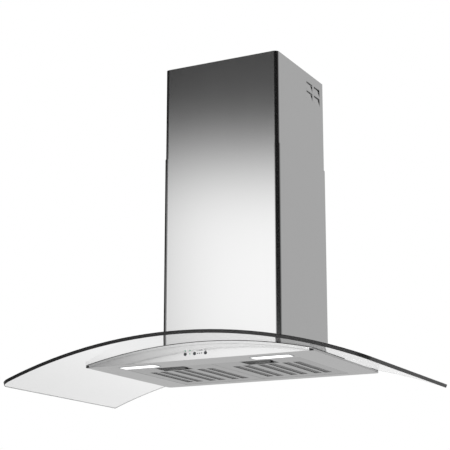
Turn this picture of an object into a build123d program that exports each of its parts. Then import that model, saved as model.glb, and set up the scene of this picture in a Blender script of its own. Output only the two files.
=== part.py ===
from build123d import *
import math
import os

# Wall-mounted range hood with a curved glass canopy. All sizes are in millimetres.
# While it is drawn, X runs to the right, Y towards the wall (the wall is Y = 0, and a
# distance in front of it is called a depth), and Z up from the flat underside. Each
# piece is moved down at the end, so that the origin is the middle of the wall screws.

# ---- glass canopy: one sheet, bent left to right only ----
GLASS_WIDTH = 900.0
GLASS_DEPTH = 497.0
GLASS_THICKNESS = 8.0
GLASS_BEND_RADIUS = 1230.0  # to its underside
GLASS_CORNER_RADIUS = 25.0
GLASS_EDGE_BEVEL = 0.8
GASKET_THICKNESS = 1.5
GASKET_WIDTH = 8.0
GASKET_SIDE_LENGTH = 176.0  # how far it runs back along each side
PAD_WIDTH = 20.0  # rubber pads under the glass near the wall
PAD_LENGTH = 32.0
PAD_SETBACK = 10.0

# ---- steel body ----
BODY_WIDTH = 570.0
BODY_SIDE_HEIGHT = 6.13  # from the hood's underside to the glass, at the body's sides
BODY_DEPTH = 390.0
BODY_REAR_RADIUS = 10.0  # of its two upright rear corners
SHEET = 1.0  # thickness of all folded steel
FRONT_LIP = 6.0  # how far the carrier's front edge is turned down
SEAM = 0.4  # visible joint between two folded panels
FASCIA_FLANGE = 14.0
PAN_FLANGE_HEIGHT = 5.0
CORNER_CAP_WIDTH = 8.0
CORNER_CAP_DEPTH = 5.0

# ---- grease filters ----
FILTER_SIDE_MARGIN = 66.0  # from the body's side to the opening for the filters
FILTER_FRONT_MARGIN = 78.0  # from the body's front to the filters
FILTER_BACK_EDGE = 35.0  # depth of the filters' rear edge
FILTER_HEIGHT = 12.0
FILTER_GAP = 2.0  # between the two filters
FILTER_CLEARANCE = 1.0  # to the opening's sides and front
FILTER_REAR_CLEARANCE = 2.0
FILTER_EDGE_RADIUS = 1.0
SLOT_WIDTH = 18.0
SLOT_REAR_MARGIN = 35.0  # from the filter's rear edge to its slots
SLOT_FRONT_MARGIN = 57.0
SLOT_PAIR_PITCH = 62.5
SLOT_PITCH_IN_PAIR = 26.0
MESH_CLEARANCE = 0.2
MESH_THICKNESS = 0.6
PLEAT_PITCH = 10.0
POCKET_WIDTH = 75.0
POCKET_LENGTH = 49.0
LUG_WIDTH = 20.0
LUG_SPACING = 120.0
LUG_OVERLAP = 4.0
LUG_CLEARANCE = 0.3

# ---- filter latches ----
LATCH_TRAVEL = 5.0
LATCH_WIDTH = 44.0
LATCH_THICKNESS = 1.2
LATCH_CLEARANCE = 0.2
LATCH_TOP_CLEARANCE = 0.1
LATCH_TIP_GAP = 0.4  # between the tongue's tip and the pan's turned-up catch
LATCH_TAB_WIDTH = 38.0
LATCH_TAB_THICKNESS = 3.0
LATCH_TAB_SETBACK = 1.5  # tab to the pocket's rear wall when fully pulled
LATCH_ARM_WIDTH = 1.4

# ---- strip lamps ----
LAMP_LENGTH = 95.0
LAMP_WIDTH = 30.0
LAMP_SIDE_MARGIN = 117.5  # from the body's side to the lamp's middle
LAMP_FRONT_MARGIN = 45.0  # from the body's front to the lamp's middle
LAMP_CORNER_RADIUS = 5.0
LAMP_BEZEL = 2.0
LAMP_BEZEL_THICKNESS = 0.6
LAMP_HEIGHT = 11.0
LAMP_WALL = 1.2
LAMP_CLEARANCE = 0.2
LAMP_FLANGE_ROOM = 1.0  # between a lamp and the cut-out in the fascia's flange
DIFFUSER_THICKNESS = 2.0
LED_COUNT = 8
LED_SIZE = 3.0

# ---- controls on the fascia ----
BUTTON_XS = (-24.0, -0.5, 27.0)
BUTTON_Z = 13.0
BUTTON_RADIUS = 3.5
BUTTON_HOLE_CLEARANCE = 0.3
BUTTON_PROUD = 1.5
BUTTON_TRAVEL = 1.0
BUTTON_FLANGE = 1.0  # how far its stop ring stands out
BUTTON_LENGTH = 6.0
GREEN_LED_XS_UPPER = (-24.0, -12.0)
GREEN_LED_XS_LOWER = (-12.0,)
SPEED_LED_XS = (7.5, 12.5, 17.5)
UPPER_LED_Z = 20.5
LED_RADIUS = 1.3
LED_PROUD = 0.3
SWITCH_BLOCK_MARGIN = 8.0
SWITCH_BLOCK_DEPTH = 22.0
SWITCH_BLOCK_HEIGHT = 22.0

# ---- chimney covers ----
COVER_WIDTH = 308.0
COVER_DEPTH = 271.0
COVER_CORNER_RADIUS = 13.0
COVER_SEAM_Z = 515.0
COVER_TOP_Z = 744.0
COVER_CLEARANCE = 0.6
COVER_RETURN = 10.0  # width of the turned-in rear edges
UPPER_COVER_LENGTH = 440.0
SEAL_THICKNESS = 1.0
SEAL_WIDTH = 4.0
LOUVRE_WIDTH = 35.0
LOUVRE_HEIGHT = 20.0
LOUVRE_PITCH_DEPTH = 44.5
LOUVRE_PITCH_Z = 23.5
LOUVRE_CENTRE_DEPTH = 61.0
LOUVRE_DROP = 44.5  # from the cover's top to the middle of the group
LOUVRE_INSET = 2.6
LOUVRE_SIDE_GAP = 0.8

# ---- wall plate and brackets ----
WALL_PLATE_CLEARANCE = 1.4  # to the covers' turned-in rear edges
WALL_PLATE_THICKNESS = 2.0
WALL_PLATE_BOTTOM_Z = 62.0
WALL_PLATE_TOP_Z = 300.0
WALL_HOLE_RADIUS = 4.0
WALL_HOLE_MARGIN = 15.0  # from the plate's side to its holes
WALL_HOLE_SPACING_Z = 180.0
WALL_HOLE_MIDDLE_Z = 180.0
BRACKET_RISE = 4.4  # of the brackets' lower edge above the glass's highest line
BRACKET_HEIGHT = 18.0
BRACKET_LENGTH = 30.0
BRACKET_MIDDLE_DEPTH = 115.0
TOP_BRACKET_CLEARANCE = 3.4  # to the upper cover's turned-in rear edges
TOP_BRACKET_HEIGHT = 42.0
TOP_BRACKET_THICKNESS = 1.5
TOP_BRACKET_DROP = 3.0  # from the cover's top edge to the bracket's
TOP_BRACKET_HOLE_MARGIN = 38.0  # from the bracket's end to its hole

# ---- blower ----
BOX_SIDE_ROOM = 46.0  # between the blower box and the outside of the chimney
BOX_FRONT_ROOM = 39.0
BOX_TOP_Z = 330.0
BOX_FLANGE = 14.0
THROAT_MARGIN = 4.0  # of carrier left inside the box's walls
GLASS_NOTCH_CLEARANCE = 4.0
WHEEL_RADIUS = 65.0
WHEEL_BLADE_DEPTH = 12.0  # from the blades' roots to their tips
WHEEL_SIDE_GAP = 4.0  # to the volute's side walls
WHEEL_BLADES = 32
WHEEL_BLADE_THICKNESS = 1.2
WHEEL_BLADE_LEAN = 10.0  # degrees from root to tip, forward in the sense of turning
WHEEL_RING_THICKNESS = 2.0
WHEEL_HUB_RADIUS = 11.0
WHEEL_AXIS_DEPTH = 92.0
WHEEL_AXIS_Z = 175.0
SCROLL_WHEEL_GAP = 9.0  # between the wheel and the volute's first quarter
SCROLL_GROWTH = 9.0  # per quarter turn
SCROLL_WALL = 2.0
SCROLL_HALF_WIDTH = 48.0
SCROLL_INLET_LIP = 3.0  # how far the inlet's edge covers the blades' roots
SCROLL_OUTLET_START = 8.0  # outlet's inner wall in front of the wheel's axis
MOTOR_RADIUS = 34.0
MOTOR_INNER_END = 26.0  # distance of its near end from the middle
MOTOR_END_ROOM = 14.0  # between the motor's far end and the box's side
MOTOR_SHAFT_RADIUS = 4.0
MOTOR_SHAFT_CLEARANCE = 0.05
MOTOR_ARM_WIDTH = 9.0
MOTOR_ARM_ANGLES = (90.0, 210.0, 330.0)
MOTOR_BUSH_RADIUS = 5.0
MOTOR_BUSH_THICKNESS = 3.0
MOTOR_RING_THICKNESS = 3.0
CAPACITOR_RADIUS = 14.0
CAPACITOR_LENGTH = 52.0
CONTROL_BOX_SIZE = (28.0, 96.0, 84.0)
CONTROL_BOX_WALL = 2.0
GLAND_RADIUS = 9.0
GLAND_HOLE_RADIUS = 4.0
GLAND_HEIGHT = 16.0

# ---- outlet ----
COLLAR_RADIUS = 75.0
COLLAR_WALL = 2.5
COLLAR_HEIGHT = 50.0
COLLAR_FLANGE = 9.0
COLLAR_FLANGE_THICKNESS = 3.0
FLAP_SEAT_HEIGHT = 22.0  # of the flaps' seat above the box
FLAP_SEAT_WIDTH = 3.5
FLAP_THICKNESS = 1.5
FLAP_CLEARANCE = 1.0
FLAP_PIN_RADIUS = 1.5
FLAP_KNUCKLE_RADIUS = 3.0
FLAP_KNUCKLE_CLEARANCE = 0.06
FLAP_REST_GAP = 0.3
FLAP_KNUCKLE_LENGTH = 14.0

# ---- screws ----
GLASS_SCREW_DEPTHS = (60.0, 200.0)
GLASS_SCREW_RADIUS = 2.5
GLASS_SCREW_OVERRUN = 6.0  # of shank past the carrier
GLASS_HOLE_RADIUS = 4.5
WASHER_RADIUS = 8.0
WASHER_THICKNESS = 1.5
BOX_SCREW_INSET = 31.0  # from the box's back and front
BOX_SCREW_RADIUS = 2.0
BOX_SCREW_OVERRUN = 5.0
SCREW_CLEARANCE = 0.1
CUT = 1.0  # how far a cutter passes the face that it opens

LEFT = -1
RIGHT = 1
SIDE_NAMES = {LEFT: "left", RIGHT: "right"}

# ---- places that follow from the sizes above ----
ARCH_CENTRE_Z = BODY_SIDE_HEIGHT - math.sqrt(GLASS_BEND_RADIUS**2 - (BODY_WIDTH / 2) ** 2)
GLASS_APEX_Z = ARCH_CENTRE_Z + GLASS_BEND_RADIUS
GLASS_TOP_RADIUS = GLASS_BEND_RADIUS + GLASS_THICKNESS
PLATE_TOP_RADIUS = GLASS_BEND_RADIUS - GASKET_THICKNESS
PLATE_UNDER_RADIUS = PLATE_TOP_RADIUS - SHEET
LIP_RADIUS = PLATE_TOP_RADIUS - FRONT_LIP
FASCIA_RADIUS = LIP_RADIUS - SEAM
SEAL_TOP_RADIUS = GLASS_TOP_RADIUS + SEAL_THICKNESS
FLANGE_TOP_RADIUS = PLATE_TOP_RADIUS + SHEET

FASCIA_BACK = BODY_DEPTH - SHEET
CAP_INNER_X = BODY_WIDTH / 2 - CORNER_CAP_WIDTH
LAMP_CENTRE_X = BODY_WIDTH / 2 - LAMP_SIDE_MARGIN
LAMP_CENTRE_DEPTH = BODY_DEPTH - LAMP_FRONT_MARGIN
FILTER_FRONT = BODY_DEPTH - FILTER_FRONT_MARGIN
OPENING_HALF_WIDTH = BODY_WIDTH / 2 - FILTER_SIDE_MARGIN
FILTER_WIDTH = OPENING_HALF_WIDTH - FILTER_CLEARANCE - FILTER_GAP / 2
OPENING_BACK = FILTER_BACK_EDGE - FILTER_REAR_CLEARANCE
OPENING_FRONT = FILTER_FRONT + FILTER_CLEARANCE
POCKET_HEIGHT = FILTER_HEIGHT - 2 * SHEET - LATCH_THICKNESS - LATCH_CLEARANCE - LATCH_TOP_CLEARANCE
POCKET_FRONT = FILTER_FRONT - SHEET
POCKET_BACK = POCKET_FRONT - POCKET_LENGTH
SLIDER_LOW = POCKET_HEIGHT + SHEET + LATCH_CLEARANCE
SLIDER_HIGH = SLIDER_LOW + LATCH_THICKNESS
CATCH_HEIGHT = SLIDER_LOW - LATCH_CLEARANCE
LATCH_TIP = OPENING_FRONT - LATCH_TIP_GAP
LATCH_TAB_BACK = POCKET_BACK + LATCH_TAB_SETBACK + LATCH_TRAVEL
MESH_FRONT = POCKET_BACK - SHEET - LATCH_CLEARANCE

LOWER_HALF = COVER_WIDTH / 2
UPPER_HALF = LOWER_HALF - SHEET - COVER_CLEARANCE
UPPER_DEPTH = COVER_DEPTH - SHEET - COVER_CLEARANCE
UPPER_BACK = SHEET + COVER_CLEARANCE
UPPER_BOTTOM_Z = COVER_TOP_Z - UPPER_COVER_LENGTH
RETURN_INNER_X = UPPER_HALF - SHEET - COVER_RETURN
LOUVRE_MIDDLE_Z = COVER_TOP_Z - LOUVRE_DROP

WALL_PLATE_HALF = RETURN_INNER_X - WALL_PLATE_CLEARANCE
WALL_HOLE_X = WALL_PLATE_HALF - WALL_HOLE_MARGIN
TOP_BRACKET_HALF = RETURN_INNER_X - TOP_BRACKET_CLEARANCE
BRACKET_BOTTOM_Z = GLASS_APEX_Z + GLASS_THICKNESS + BRACKET_RISE

BOX_HALF = LOWER_HALF - BOX_SIDE_ROOM
BOX_BACK = WALL_PLATE_THICKNESS
BOX_FRONT = COVER_DEPTH - BOX_FRONT_ROOM
NOTCH_HALF_WIDTH = BOX_HALF + BOX_FLANGE + GLASS_NOTCH_CLEARANCE
BOX_SCREW_X = BOX_HALF + BOX_FLANGE / 2
BOX_SCREW_DEPTHS = (BOX_BACK + BOX_SCREW_INSET, BOX_FRONT - BOX_SCREW_INSET)
GLASS_SCREW_X = (NOTCH_HALF_WIDTH + LOWER_HALF - SHEET) / 2
WHEEL_INNER_RADIUS = WHEEL_RADIUS - WHEEL_BLADE_DEPTH
WHEEL_HALF_WIDTH = SCROLL_HALF_WIDTH - WHEEL_SIDE_GAP
SCROLL_FIRST_RADIUS = WHEEL_RADIUS + SCROLL_WHEEL_GAP
SCROLL_INLET_RADIUS = WHEEL_INNER_RADIUS - SCROLL_INLET_LIP
SCROLL_TOP = BOX_TOP_Z - SHEET - WHEEL_AXIS_Z
SCROLL_SECOND_RADIUS = SCROLL_FIRST_RADIUS + SCROLL_GROWTH
SCROLL_THIRD_RADIUS = SCROLL_SECOND_RADIUS + SCROLL_GROWTH
SCROLL_OUTLET_END = SCROLL_GROWTH / 2 + SCROLL_THIRD_RADIUS
COLLAR_DEPTH = WHEEL_AXIS_DEPTH + (SCROLL_OUTLET_START + SCROLL_OUTLET_END) / 2
COLLAR_INNER_RADIUS = COLLAR_RADIUS - COLLAR_WALL
FLAP_SEAT_Z = BOX_TOP_Z + FLAP_SEAT_HEIGHT
FLAP_AXIS_Z = FLAP_SEAT_Z + FLAP_REST_GAP + FLAP_KNUCKLE_RADIUS
MOTOR_FAR_END = BOX_HALF - MOTOR_END_ROOM
MOTOR_ARM_REACH = SCROLL_INLET_RADIUS + 1.5 * MOTOR_BUSH_RADIUS

os.makedirs("parts", exist_ok=True)


def save(name, shape):
    """Write one piece, moved so that the origin is the middle of the wall screws."""
    export_step(Pos(0, 0, -WALL_HOLE_MIDDLE_Z) * shape, f"parts/{name}.step")


def block(x_range, depth_range, z_range):
    """Block between two limits each way; depths count forward from the wall."""
    x0, x1 = x_range
    d0, d1 = depth_range
    z0, z1 = z_range
    middle = Pos((x0 + x1) / 2, -(d0 + d1) / 2, (z0 + z1) / 2)
    return middle * Box(x1 - x0, d1 - d0, z1 - z0)


def mirrored(shape):
    """The same piece on the other side of the middle plane."""
    return mirror(shape, about=Plane.YZ)


def on_side(side, shape):
    """A piece drawn on the right, put on the given side."""
    return shape if side == RIGHT else mirrored(shape)


def front_extrusion(edges, depth_range):
    """A closed outline seen from the front (x, z), run from one depth to another."""
    d0, d1 = depth_range
    return extrude(Plane.XZ.offset(d0) * make_face(edges), d1 - d0)


def arch_z(radius, x):
    """Height of the common curve of a given radius."""
    return ARCH_CENTRE_Z + math.sqrt(radius**2 - x**2)


def arch_arc(radius, x_from, x_to):
    """The common curve as an edge in the front view."""
    points = [(x, arch_z(radius, x)) for x in (x_from, (x_from + x_to) / 2, x_to)]
    return ThreePointArc(*points)


def between_arches(low_radius, high_radius, x_range, depth_range):
    """Curved strip between two radii of the common curve."""
    x0, x1 = x_range
    edges = [
        arch_arc(low_radius, x0, x1),
        Line((x1, arch_z(low_radius, x1)), (x1, arch_z(high_radius, x1))),
        arch_arc(high_radius, x1, x0),
        Line((x0, arch_z(high_radius, x0)), (x0, arch_z(low_radius, x0))),
    ]
    return front_extrusion(edges, depth_range)


def under_arch(low_z, radius, x_range, depth_range):
    """Solid between a flat bottom and the common curve."""
    x0, x1 = x_range
    edges = [
        Line((x0, low_z), (x1, low_z)),
        Line((x1, low_z), (x1, arch_z(radius, x1))),
        arch_arc(radius, x1, x0),
        Line((x0, arch_z(radius, x0)), (x0, low_z)),
    ]
    return front_extrusion(edges, depth_range)


def rod(radius, start, end):
    """Straight round bar between two points."""
    axis = Vector(*end) - Vector(*start)
    return Plane(origin=start, z_dir=axis) * extrude(Circle(radius), axis.length)


def on_arch(radius, x, depth, shape):
    """A piece drawn standing at the origin, put square on the common curve.

    x is where its axis crosses the carrier, so pieces at different radii share one axis.
    """
    tilt = math.asin(x / PLATE_TOP_RADIUS)
    place = Pos(radius * math.sin(tilt), -depth, ARCH_CENTRE_Z + radius * math.cos(tilt))
    return place * Rot(0, math.degrees(tilt), 0) * shape


def screw_places(half_x, depths):
    """The four places of a set of screws, left and right."""
    return [(side * half_x, depth) for side in (LEFT, RIGHT) for depth in depths]


# ---- glass and what holds it ----
def glass_canopy():
    half = GLASS_WIDTH / 2
    low_half = half * GLASS_BEND_RADIUS / GLASS_TOP_RADIUS
    edges = [
        arch_arc(GLASS_BEND_RADIUS, -low_half, low_half),
        Line((low_half, arch_z(GLASS_BEND_RADIUS, low_half)), (half, arch_z(GLASS_TOP_RADIUS, half))),
        arch_arc(GLASS_TOP_RADIUS, half, -half),
        Line((-half, arch_z(GLASS_TOP_RADIUS, half)), (-low_half, arch_z(GLASS_BEND_RADIUS, low_half))),
    ]
    sheet = front_extrusion(edges, (0, GLASS_DEPTH))
    corners = [edge for edge in sheet.edges().filter_by(GeomType.LINE) if edge.length < 2 * GLASS_THICKNESS]
    front_corners = ShapeList(corners).sort_by(Axis.Y)[:2]
    sheet = fillet(front_corners, GLASS_CORNER_RADIUS)
    long_edges = sheet.faces().sort_by(Axis.Y)[0].edges().filter_by(GeomType.CIRCLE)
    sheet = chamfer(long_edges, GLASS_EDGE_BEVEL)
    notch_depths = (-CUT, BOX_FRONT + GLASS_NOTCH_CLEARANCE)
    sheet -= block((-NOTCH_HALF_WIDTH, NOTCH_HALF_WIDTH), notch_depths, (0, 2 * GLASS_APEX_Z))
    for x, depth in screw_places(GLASS_SCREW_X, GLASS_SCREW_DEPTHS):
        sheet -= on_arch(GLASS_BEND_RADIUS, x, depth, Cylinder(GLASS_HOLE_RADIUS, 4 * GLASS_THICKNESS))
    return sheet


def glass_gasket():
    half = BODY_WIDTH / 2
    radii = (PLATE_TOP_RADIUS, GLASS_BEND_RADIUS)
    side_depths = (BODY_DEPTH - GASKET_SIDE_LENGTH, BODY_DEPTH)
    strip = between_arches(*radii, (-half, half), (BODY_DEPTH - GASKET_WIDTH, BODY_DEPTH))
    side = between_arches(*radii, (half - GASKET_WIDTH, half), side_depths)
    return strip + side + mirrored(side)


def rear_glass_pads():
    half = BODY_WIDTH / 2
    radii = (PLATE_TOP_RADIUS, GLASS_BEND_RADIUS)
    pad = between_arches(*radii, (half - PAD_WIDTH, half), (PAD_SETBACK, PAD_SETBACK + PAD_LENGTH))
    return Compound([pad, mirrored(pad)])


def glass_spacers():
    bore = Cylinder(GLASS_SCREW_RADIUS + SCREW_CLEARANCE, GLASS_THICKNESS)
    tube = Cylinder(WASHER_RADIUS, 4 * GASKET_THICKNESS) - bore
    half = BODY_WIDTH / 2
    layer = between_arches(PLATE_TOP_RADIUS, GLASS_BEND_RADIUS, (-half, half), (0, BODY_DEPTH))
    places = screw_places(GLASS_SCREW_X, GLASS_SCREW_DEPTHS)
    return Compound([layer & on_arch(PLATE_TOP_RADIUS, x, depth, tube) for x, depth in places])


def glass_washers():
    ring = extrude(Circle(WASHER_RADIUS) - Circle(GLASS_SCREW_RADIUS + SCREW_CLEARANCE), WASHER_THICKNESS)
    places = screw_places(GLASS_SCREW_X, GLASS_SCREW_DEPTHS)
    return Compound([on_arch(GLASS_TOP_RADIUS, x, depth, ring) for x, depth in places])


def pan_head_screw(radius, length):
    """Screw with its head standing on the origin and its shank below."""
    head = extrude(Circle(2 * radius), 1.3 * radius)
    head = chamfer(head.edges().group_by(Axis.Z)[-1], 0.6 * radius)
    return head + Pos(0, 0, -length) * extrude(Circle(radius), length)


def glass_screws():
    grip = WASHER_THICKNESS + GLASS_THICKNESS + GASKET_THICKNESS + SHEET
    screw = pan_head_screw(GLASS_SCREW_RADIUS, grip + GLASS_SCREW_OVERRUN)
    places = screw_places(GLASS_SCREW_X, GLASS_SCREW_DEPTHS)
    head_radius = GLASS_TOP_RADIUS + WASHER_THICKNESS
    return Compound([on_arch(head_radius, x, depth, screw) for x, depth in places])


# ---- steel body ----
def body_plan(inset):
    """Upright block round the body's plan, with its two rear corners rounded."""
    half = BODY_WIDTH / 2 - inset
    plan = block((-half, half), (inset, 2 * BODY_DEPTH), (-GLASS_APEX_Z, 2 * GLASS_APEX_Z))
    return fillet(plan.edges().filter_by(Axis.Z).sort_by(Axis.Y)[-2:], BODY_REAR_RADIUS - inset)


def top_plate():
    half = BODY_WIDTH / 2
    plate = between_arches(PLATE_UNDER_RADIUS, PLATE_TOP_RADIUS, (-half, half), (0, BODY_DEPTH))
    lip_depths = (FASCIA_BACK, BODY_DEPTH)
    lip = between_arches(LIP_RADIUS, PLATE_TOP_RADIUS, (-CAP_INNER_X, CAP_INNER_X), lip_depths)
    lip -= block((-half, half), (0, 2 * BODY_DEPTH), (-FRONT_LIP, 0))
    plate = (plate + lip) & body_plan(0)
    throat_half = BOX_HALF - SHEET - THROAT_MARGIN
    throat_depths = (BOX_BACK + SHEET + THROAT_MARGIN, BOX_FRONT - SHEET - THROAT_MARGIN)
    plate -= block((-throat_half, throat_half), throat_depths, (0, 2 * GLASS_APEX_Z))
    for x, depth in screw_places(GLASS_SCREW_X, GLASS_SCREW_DEPTHS):
        hole = Cylinder(GLASS_SCREW_RADIUS + SCREW_CLEARANCE, 6 * SHEET)
        plate -= on_arch(PLATE_TOP_RADIUS, x, depth, hole)
    for x, depth in screw_places(BOX_SCREW_X, BOX_SCREW_DEPTHS):
        hole = Cylinder(BOX_SCREW_RADIUS + SCREW_CLEARANCE, 6 * SHEET)
        plate -= on_arch(PLATE_TOP_RADIUS, x, depth, hole)
    return plate


def bottom_pan():
    half = BODY_WIDTH / 2
    pan = block((-half, half), (0, FASCIA_BACK - SEAM), (0, SHEET)) & body_plan(0)
    walls = under_arch(0, PLATE_UNDER_RADIUS, (-half, half), (0, BODY_DEPTH - CORNER_CAP_DEPTH))
    pan += (walls & body_plan(0)) - body_plan(SHEET)
    corner_depths = (BODY_DEPTH - CORNER_CAP_DEPTH, BODY_DEPTH)
    corner = block((CAP_INNER_X, half + CUT), corner_depths, (-CUT, PAN_FLANGE_HEIGHT))
    pan -= corner + mirrored(corner)
    # turned-up edges round the filter opening; the front one is the latches' catch
    edge_half = OPENING_HALF_WIDTH + SHEET
    opening_depths = (OPENING_BACK, OPENING_FRONT)
    rim_side = block((OPENING_HALF_WIDTH, edge_half), opening_depths, (0, PAN_FLANGE_HEIGHT))
    catch = block((-edge_half, edge_half), (OPENING_FRONT, OPENING_FRONT + SHEET), (0, CATCH_HEIGHT))
    pan += rim_side + mirrored(rim_side) + catch
    pan -= block((-OPENING_HALF_WIDTH, OPENING_HALF_WIDTH), opening_depths, (-CUT, SHEET + CUT))
    for side in (LEFT, RIGHT):
        pan -= lamp_at(side, lamp_plug(LAMP_CLEARANCE, 2 * SHEET, -SHEET))
    return pan


def front_fascia():
    reach = math.sqrt(FASCIA_RADIUS**2 - ARCH_CENTRE_Z**2)
    half = min(CAP_INNER_X, reach) - SEAM
    plate = under_arch(0, FASCIA_RADIUS, (-half, half), (FASCIA_BACK, BODY_DEPTH))
    flange_depths = (FASCIA_BACK - FASCIA_FLANGE, FASCIA_BACK)
    flange = block((-OPENING_HALF_WIDTH, OPENING_HALF_WIDTH), flange_depths, (SHEET, 2 * SHEET))
    for side in (LEFT, RIGHT):
        flange -= lamp_at(side, lamp_plug(LAMP_FLANGE_ROOM, LAMP_HEIGHT, -SHEET))
    plate += flange
    for x in BUTTON_XS:
        plate -= front_hole(x, BUTTON_Z, BUTTON_RADIUS + BUTTON_HOLE_CLEARANCE)
    for x, z in green_led_places() + speed_led_places():
        plate -= front_hole(x, z, LED_RADIUS)
    return plate


def front_hole(x, z, radius):
    """Cutter for a round hole in the fascia."""
    return rod(radius, (x, -(FASCIA_BACK - SHEET), z), (x, -(BODY_DEPTH + SHEET), z))


def corner_caps():
    depths = (BODY_DEPTH - CORNER_CAP_DEPTH, BODY_DEPTH)
    cap = under_arch(0, PLATE_UNDER_RADIUS, (CAP_INNER_X, BODY_WIDTH / 2), depths)
    return Compound([cap, mirrored(cap)])


# ---- lamps ----
def lamp_plug(margin, height, bottom_z):
    """Upright prism of the lamp's outline, grown by a margin."""
    length = LAMP_LENGTH + 2 * margin
    outline = RectangleRounded(length, LAMP_WIDTH + 2 * margin, LAMP_CORNER_RADIUS + margin)
    return Pos(0, 0, bottom_z) * extrude(outline, height)


def lamp_at(side, shape):
    """A lamp piece drawn at the origin, put in its place."""
    return Pos(side * LAMP_CENTRE_X, -LAMP_CENTRE_DEPTH, 0) * shape


def lamp_housing(side):
    tray = lamp_plug(0, LAMP_HEIGHT + LAMP_BEZEL_THICKNESS, -LAMP_BEZEL_THICKNESS)
    tray += lamp_plug(LAMP_BEZEL, LAMP_BEZEL_THICKNESS, -LAMP_BEZEL_THICKNESS)
    hollow_height = LAMP_HEIGHT - LAMP_WALL + LAMP_BEZEL_THICKNESS
    tray -= lamp_plug(-LAMP_WALL, hollow_height, -LAMP_BEZEL_THICKNESS)
    return lamp_at(side, tray)


def lamp_diffuser(side):
    lens = lamp_plug(-LAMP_WALL, DIFFUSER_THICKNESS, -LAMP_BEZEL_THICKNESS)
    return lamp_at(side, lens)


def led_board(side):
    board_top = LAMP_HEIGHT - LAMP_WALL
    board_length = LAMP_LENGTH - 2 * LAMP_CORNER_RADIUS
    board = Pos(0, 0, board_top - LAMP_WALL / 2) * Box(board_length, LAMP_WIDTH / 2, LAMP_WALL)
    pitch = board_length / LED_COUNT
    for number in range(LED_COUNT):
        x = (number - (LED_COUNT - 1) / 2) * pitch
        board += Pos(x, 0, board_top - LAMP_WALL - LED_SIZE / 8) * Box(LED_SIZE, LED_SIZE, LED_SIZE / 4)
    return lamp_at(side, board)


# ---- controls ----
def green_led_places():
    return [(x, UPPER_LED_Z) for x in GREEN_LED_XS_UPPER] + [(x, BUTTON_Z) for x in GREEN_LED_XS_LOWER]


def speed_led_places():
    return [(x, BUTTON_Z) for x in SPEED_LED_XS]


def led_lenses(places):
    lenses = [rod(LED_RADIUS, (x, -FASCIA_BACK, z), (x, -(BODY_DEPTH + LED_PROUD), z)) for x, z in places]
    return Compound(lenses)


def button_bore_back():
    """Depth of the bottom of a button's bore, with a little room past the travel."""
    return BODY_DEPTH + BUTTON_PROUD - BUTTON_LENGTH - BUTTON_TRAVEL - BUTTON_HOLE_CLEARANCE


def switch_block():
    x0 = BUTTON_XS[0] - SWITCH_BLOCK_MARGIN
    x1 = BUTTON_XS[-1] + SWITCH_BLOCK_MARGIN
    depths = (FASCIA_BACK - SWITCH_BLOCK_DEPTH, FASCIA_BACK)
    body = block((x0, x1), depths, (2 * SHEET, 2 * SHEET + SWITCH_BLOCK_HEIGHT))
    bore_radius = BUTTON_RADIUS + BUTTON_FLANGE + BUTTON_HOLE_CLEARANCE
    for x in BUTTON_XS:
        body -= rod(bore_radius, (x, -button_bore_back(), BUTTON_Z), (x, -BODY_DEPTH, BUTTON_Z))
    return body


def button(x):
    front = BODY_DEPTH + BUTTON_PROUD
    cap = rod(BUTTON_RADIUS, (x, -(front - BUTTON_LENGTH), BUTTON_Z), (x, -front, BUTTON_Z))
    cap = chamfer(cap.edges().sort_by(Axis.Y)[0], BUTTON_RADIUS / 6)
    flange_front = FASCIA_BACK - BUTTON_HOLE_CLEARANCE
    flange_back = front - BUTTON_LENGTH
    cap += rod(BUTTON_RADIUS + BUTTON_FLANGE, (x, -flange_back, BUTTON_Z), (x, -flange_front, BUTTON_Z))
    return cap


# ---- grease filters, drawn about the middle of one filter and moved to its side ----
def filter_centre_x(side):
    return side * (FILTER_GAP + FILTER_WIDTH) / 2


def slot_centres():
    """The six slots of a filter: three pairs."""
    pairs = [-SLOT_PAIR_PITCH, 0, SLOT_PAIR_PITCH]
    return [pair + half * SLOT_PITCH_IN_PAIR / 2 for pair in pairs for half in (-1, 1)]


def slots(z_range):
    """Cutters for a filter's six slots."""
    half = SLOT_WIDTH / 2
    depths = (FILTER_BACK_EDGE + SLOT_REAR_MARGIN, FILTER_FRONT - SLOT_FRONT_MARGIN)
    return [block((x - half, x + half), depths, z_range) for x in slot_centres()]


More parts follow.
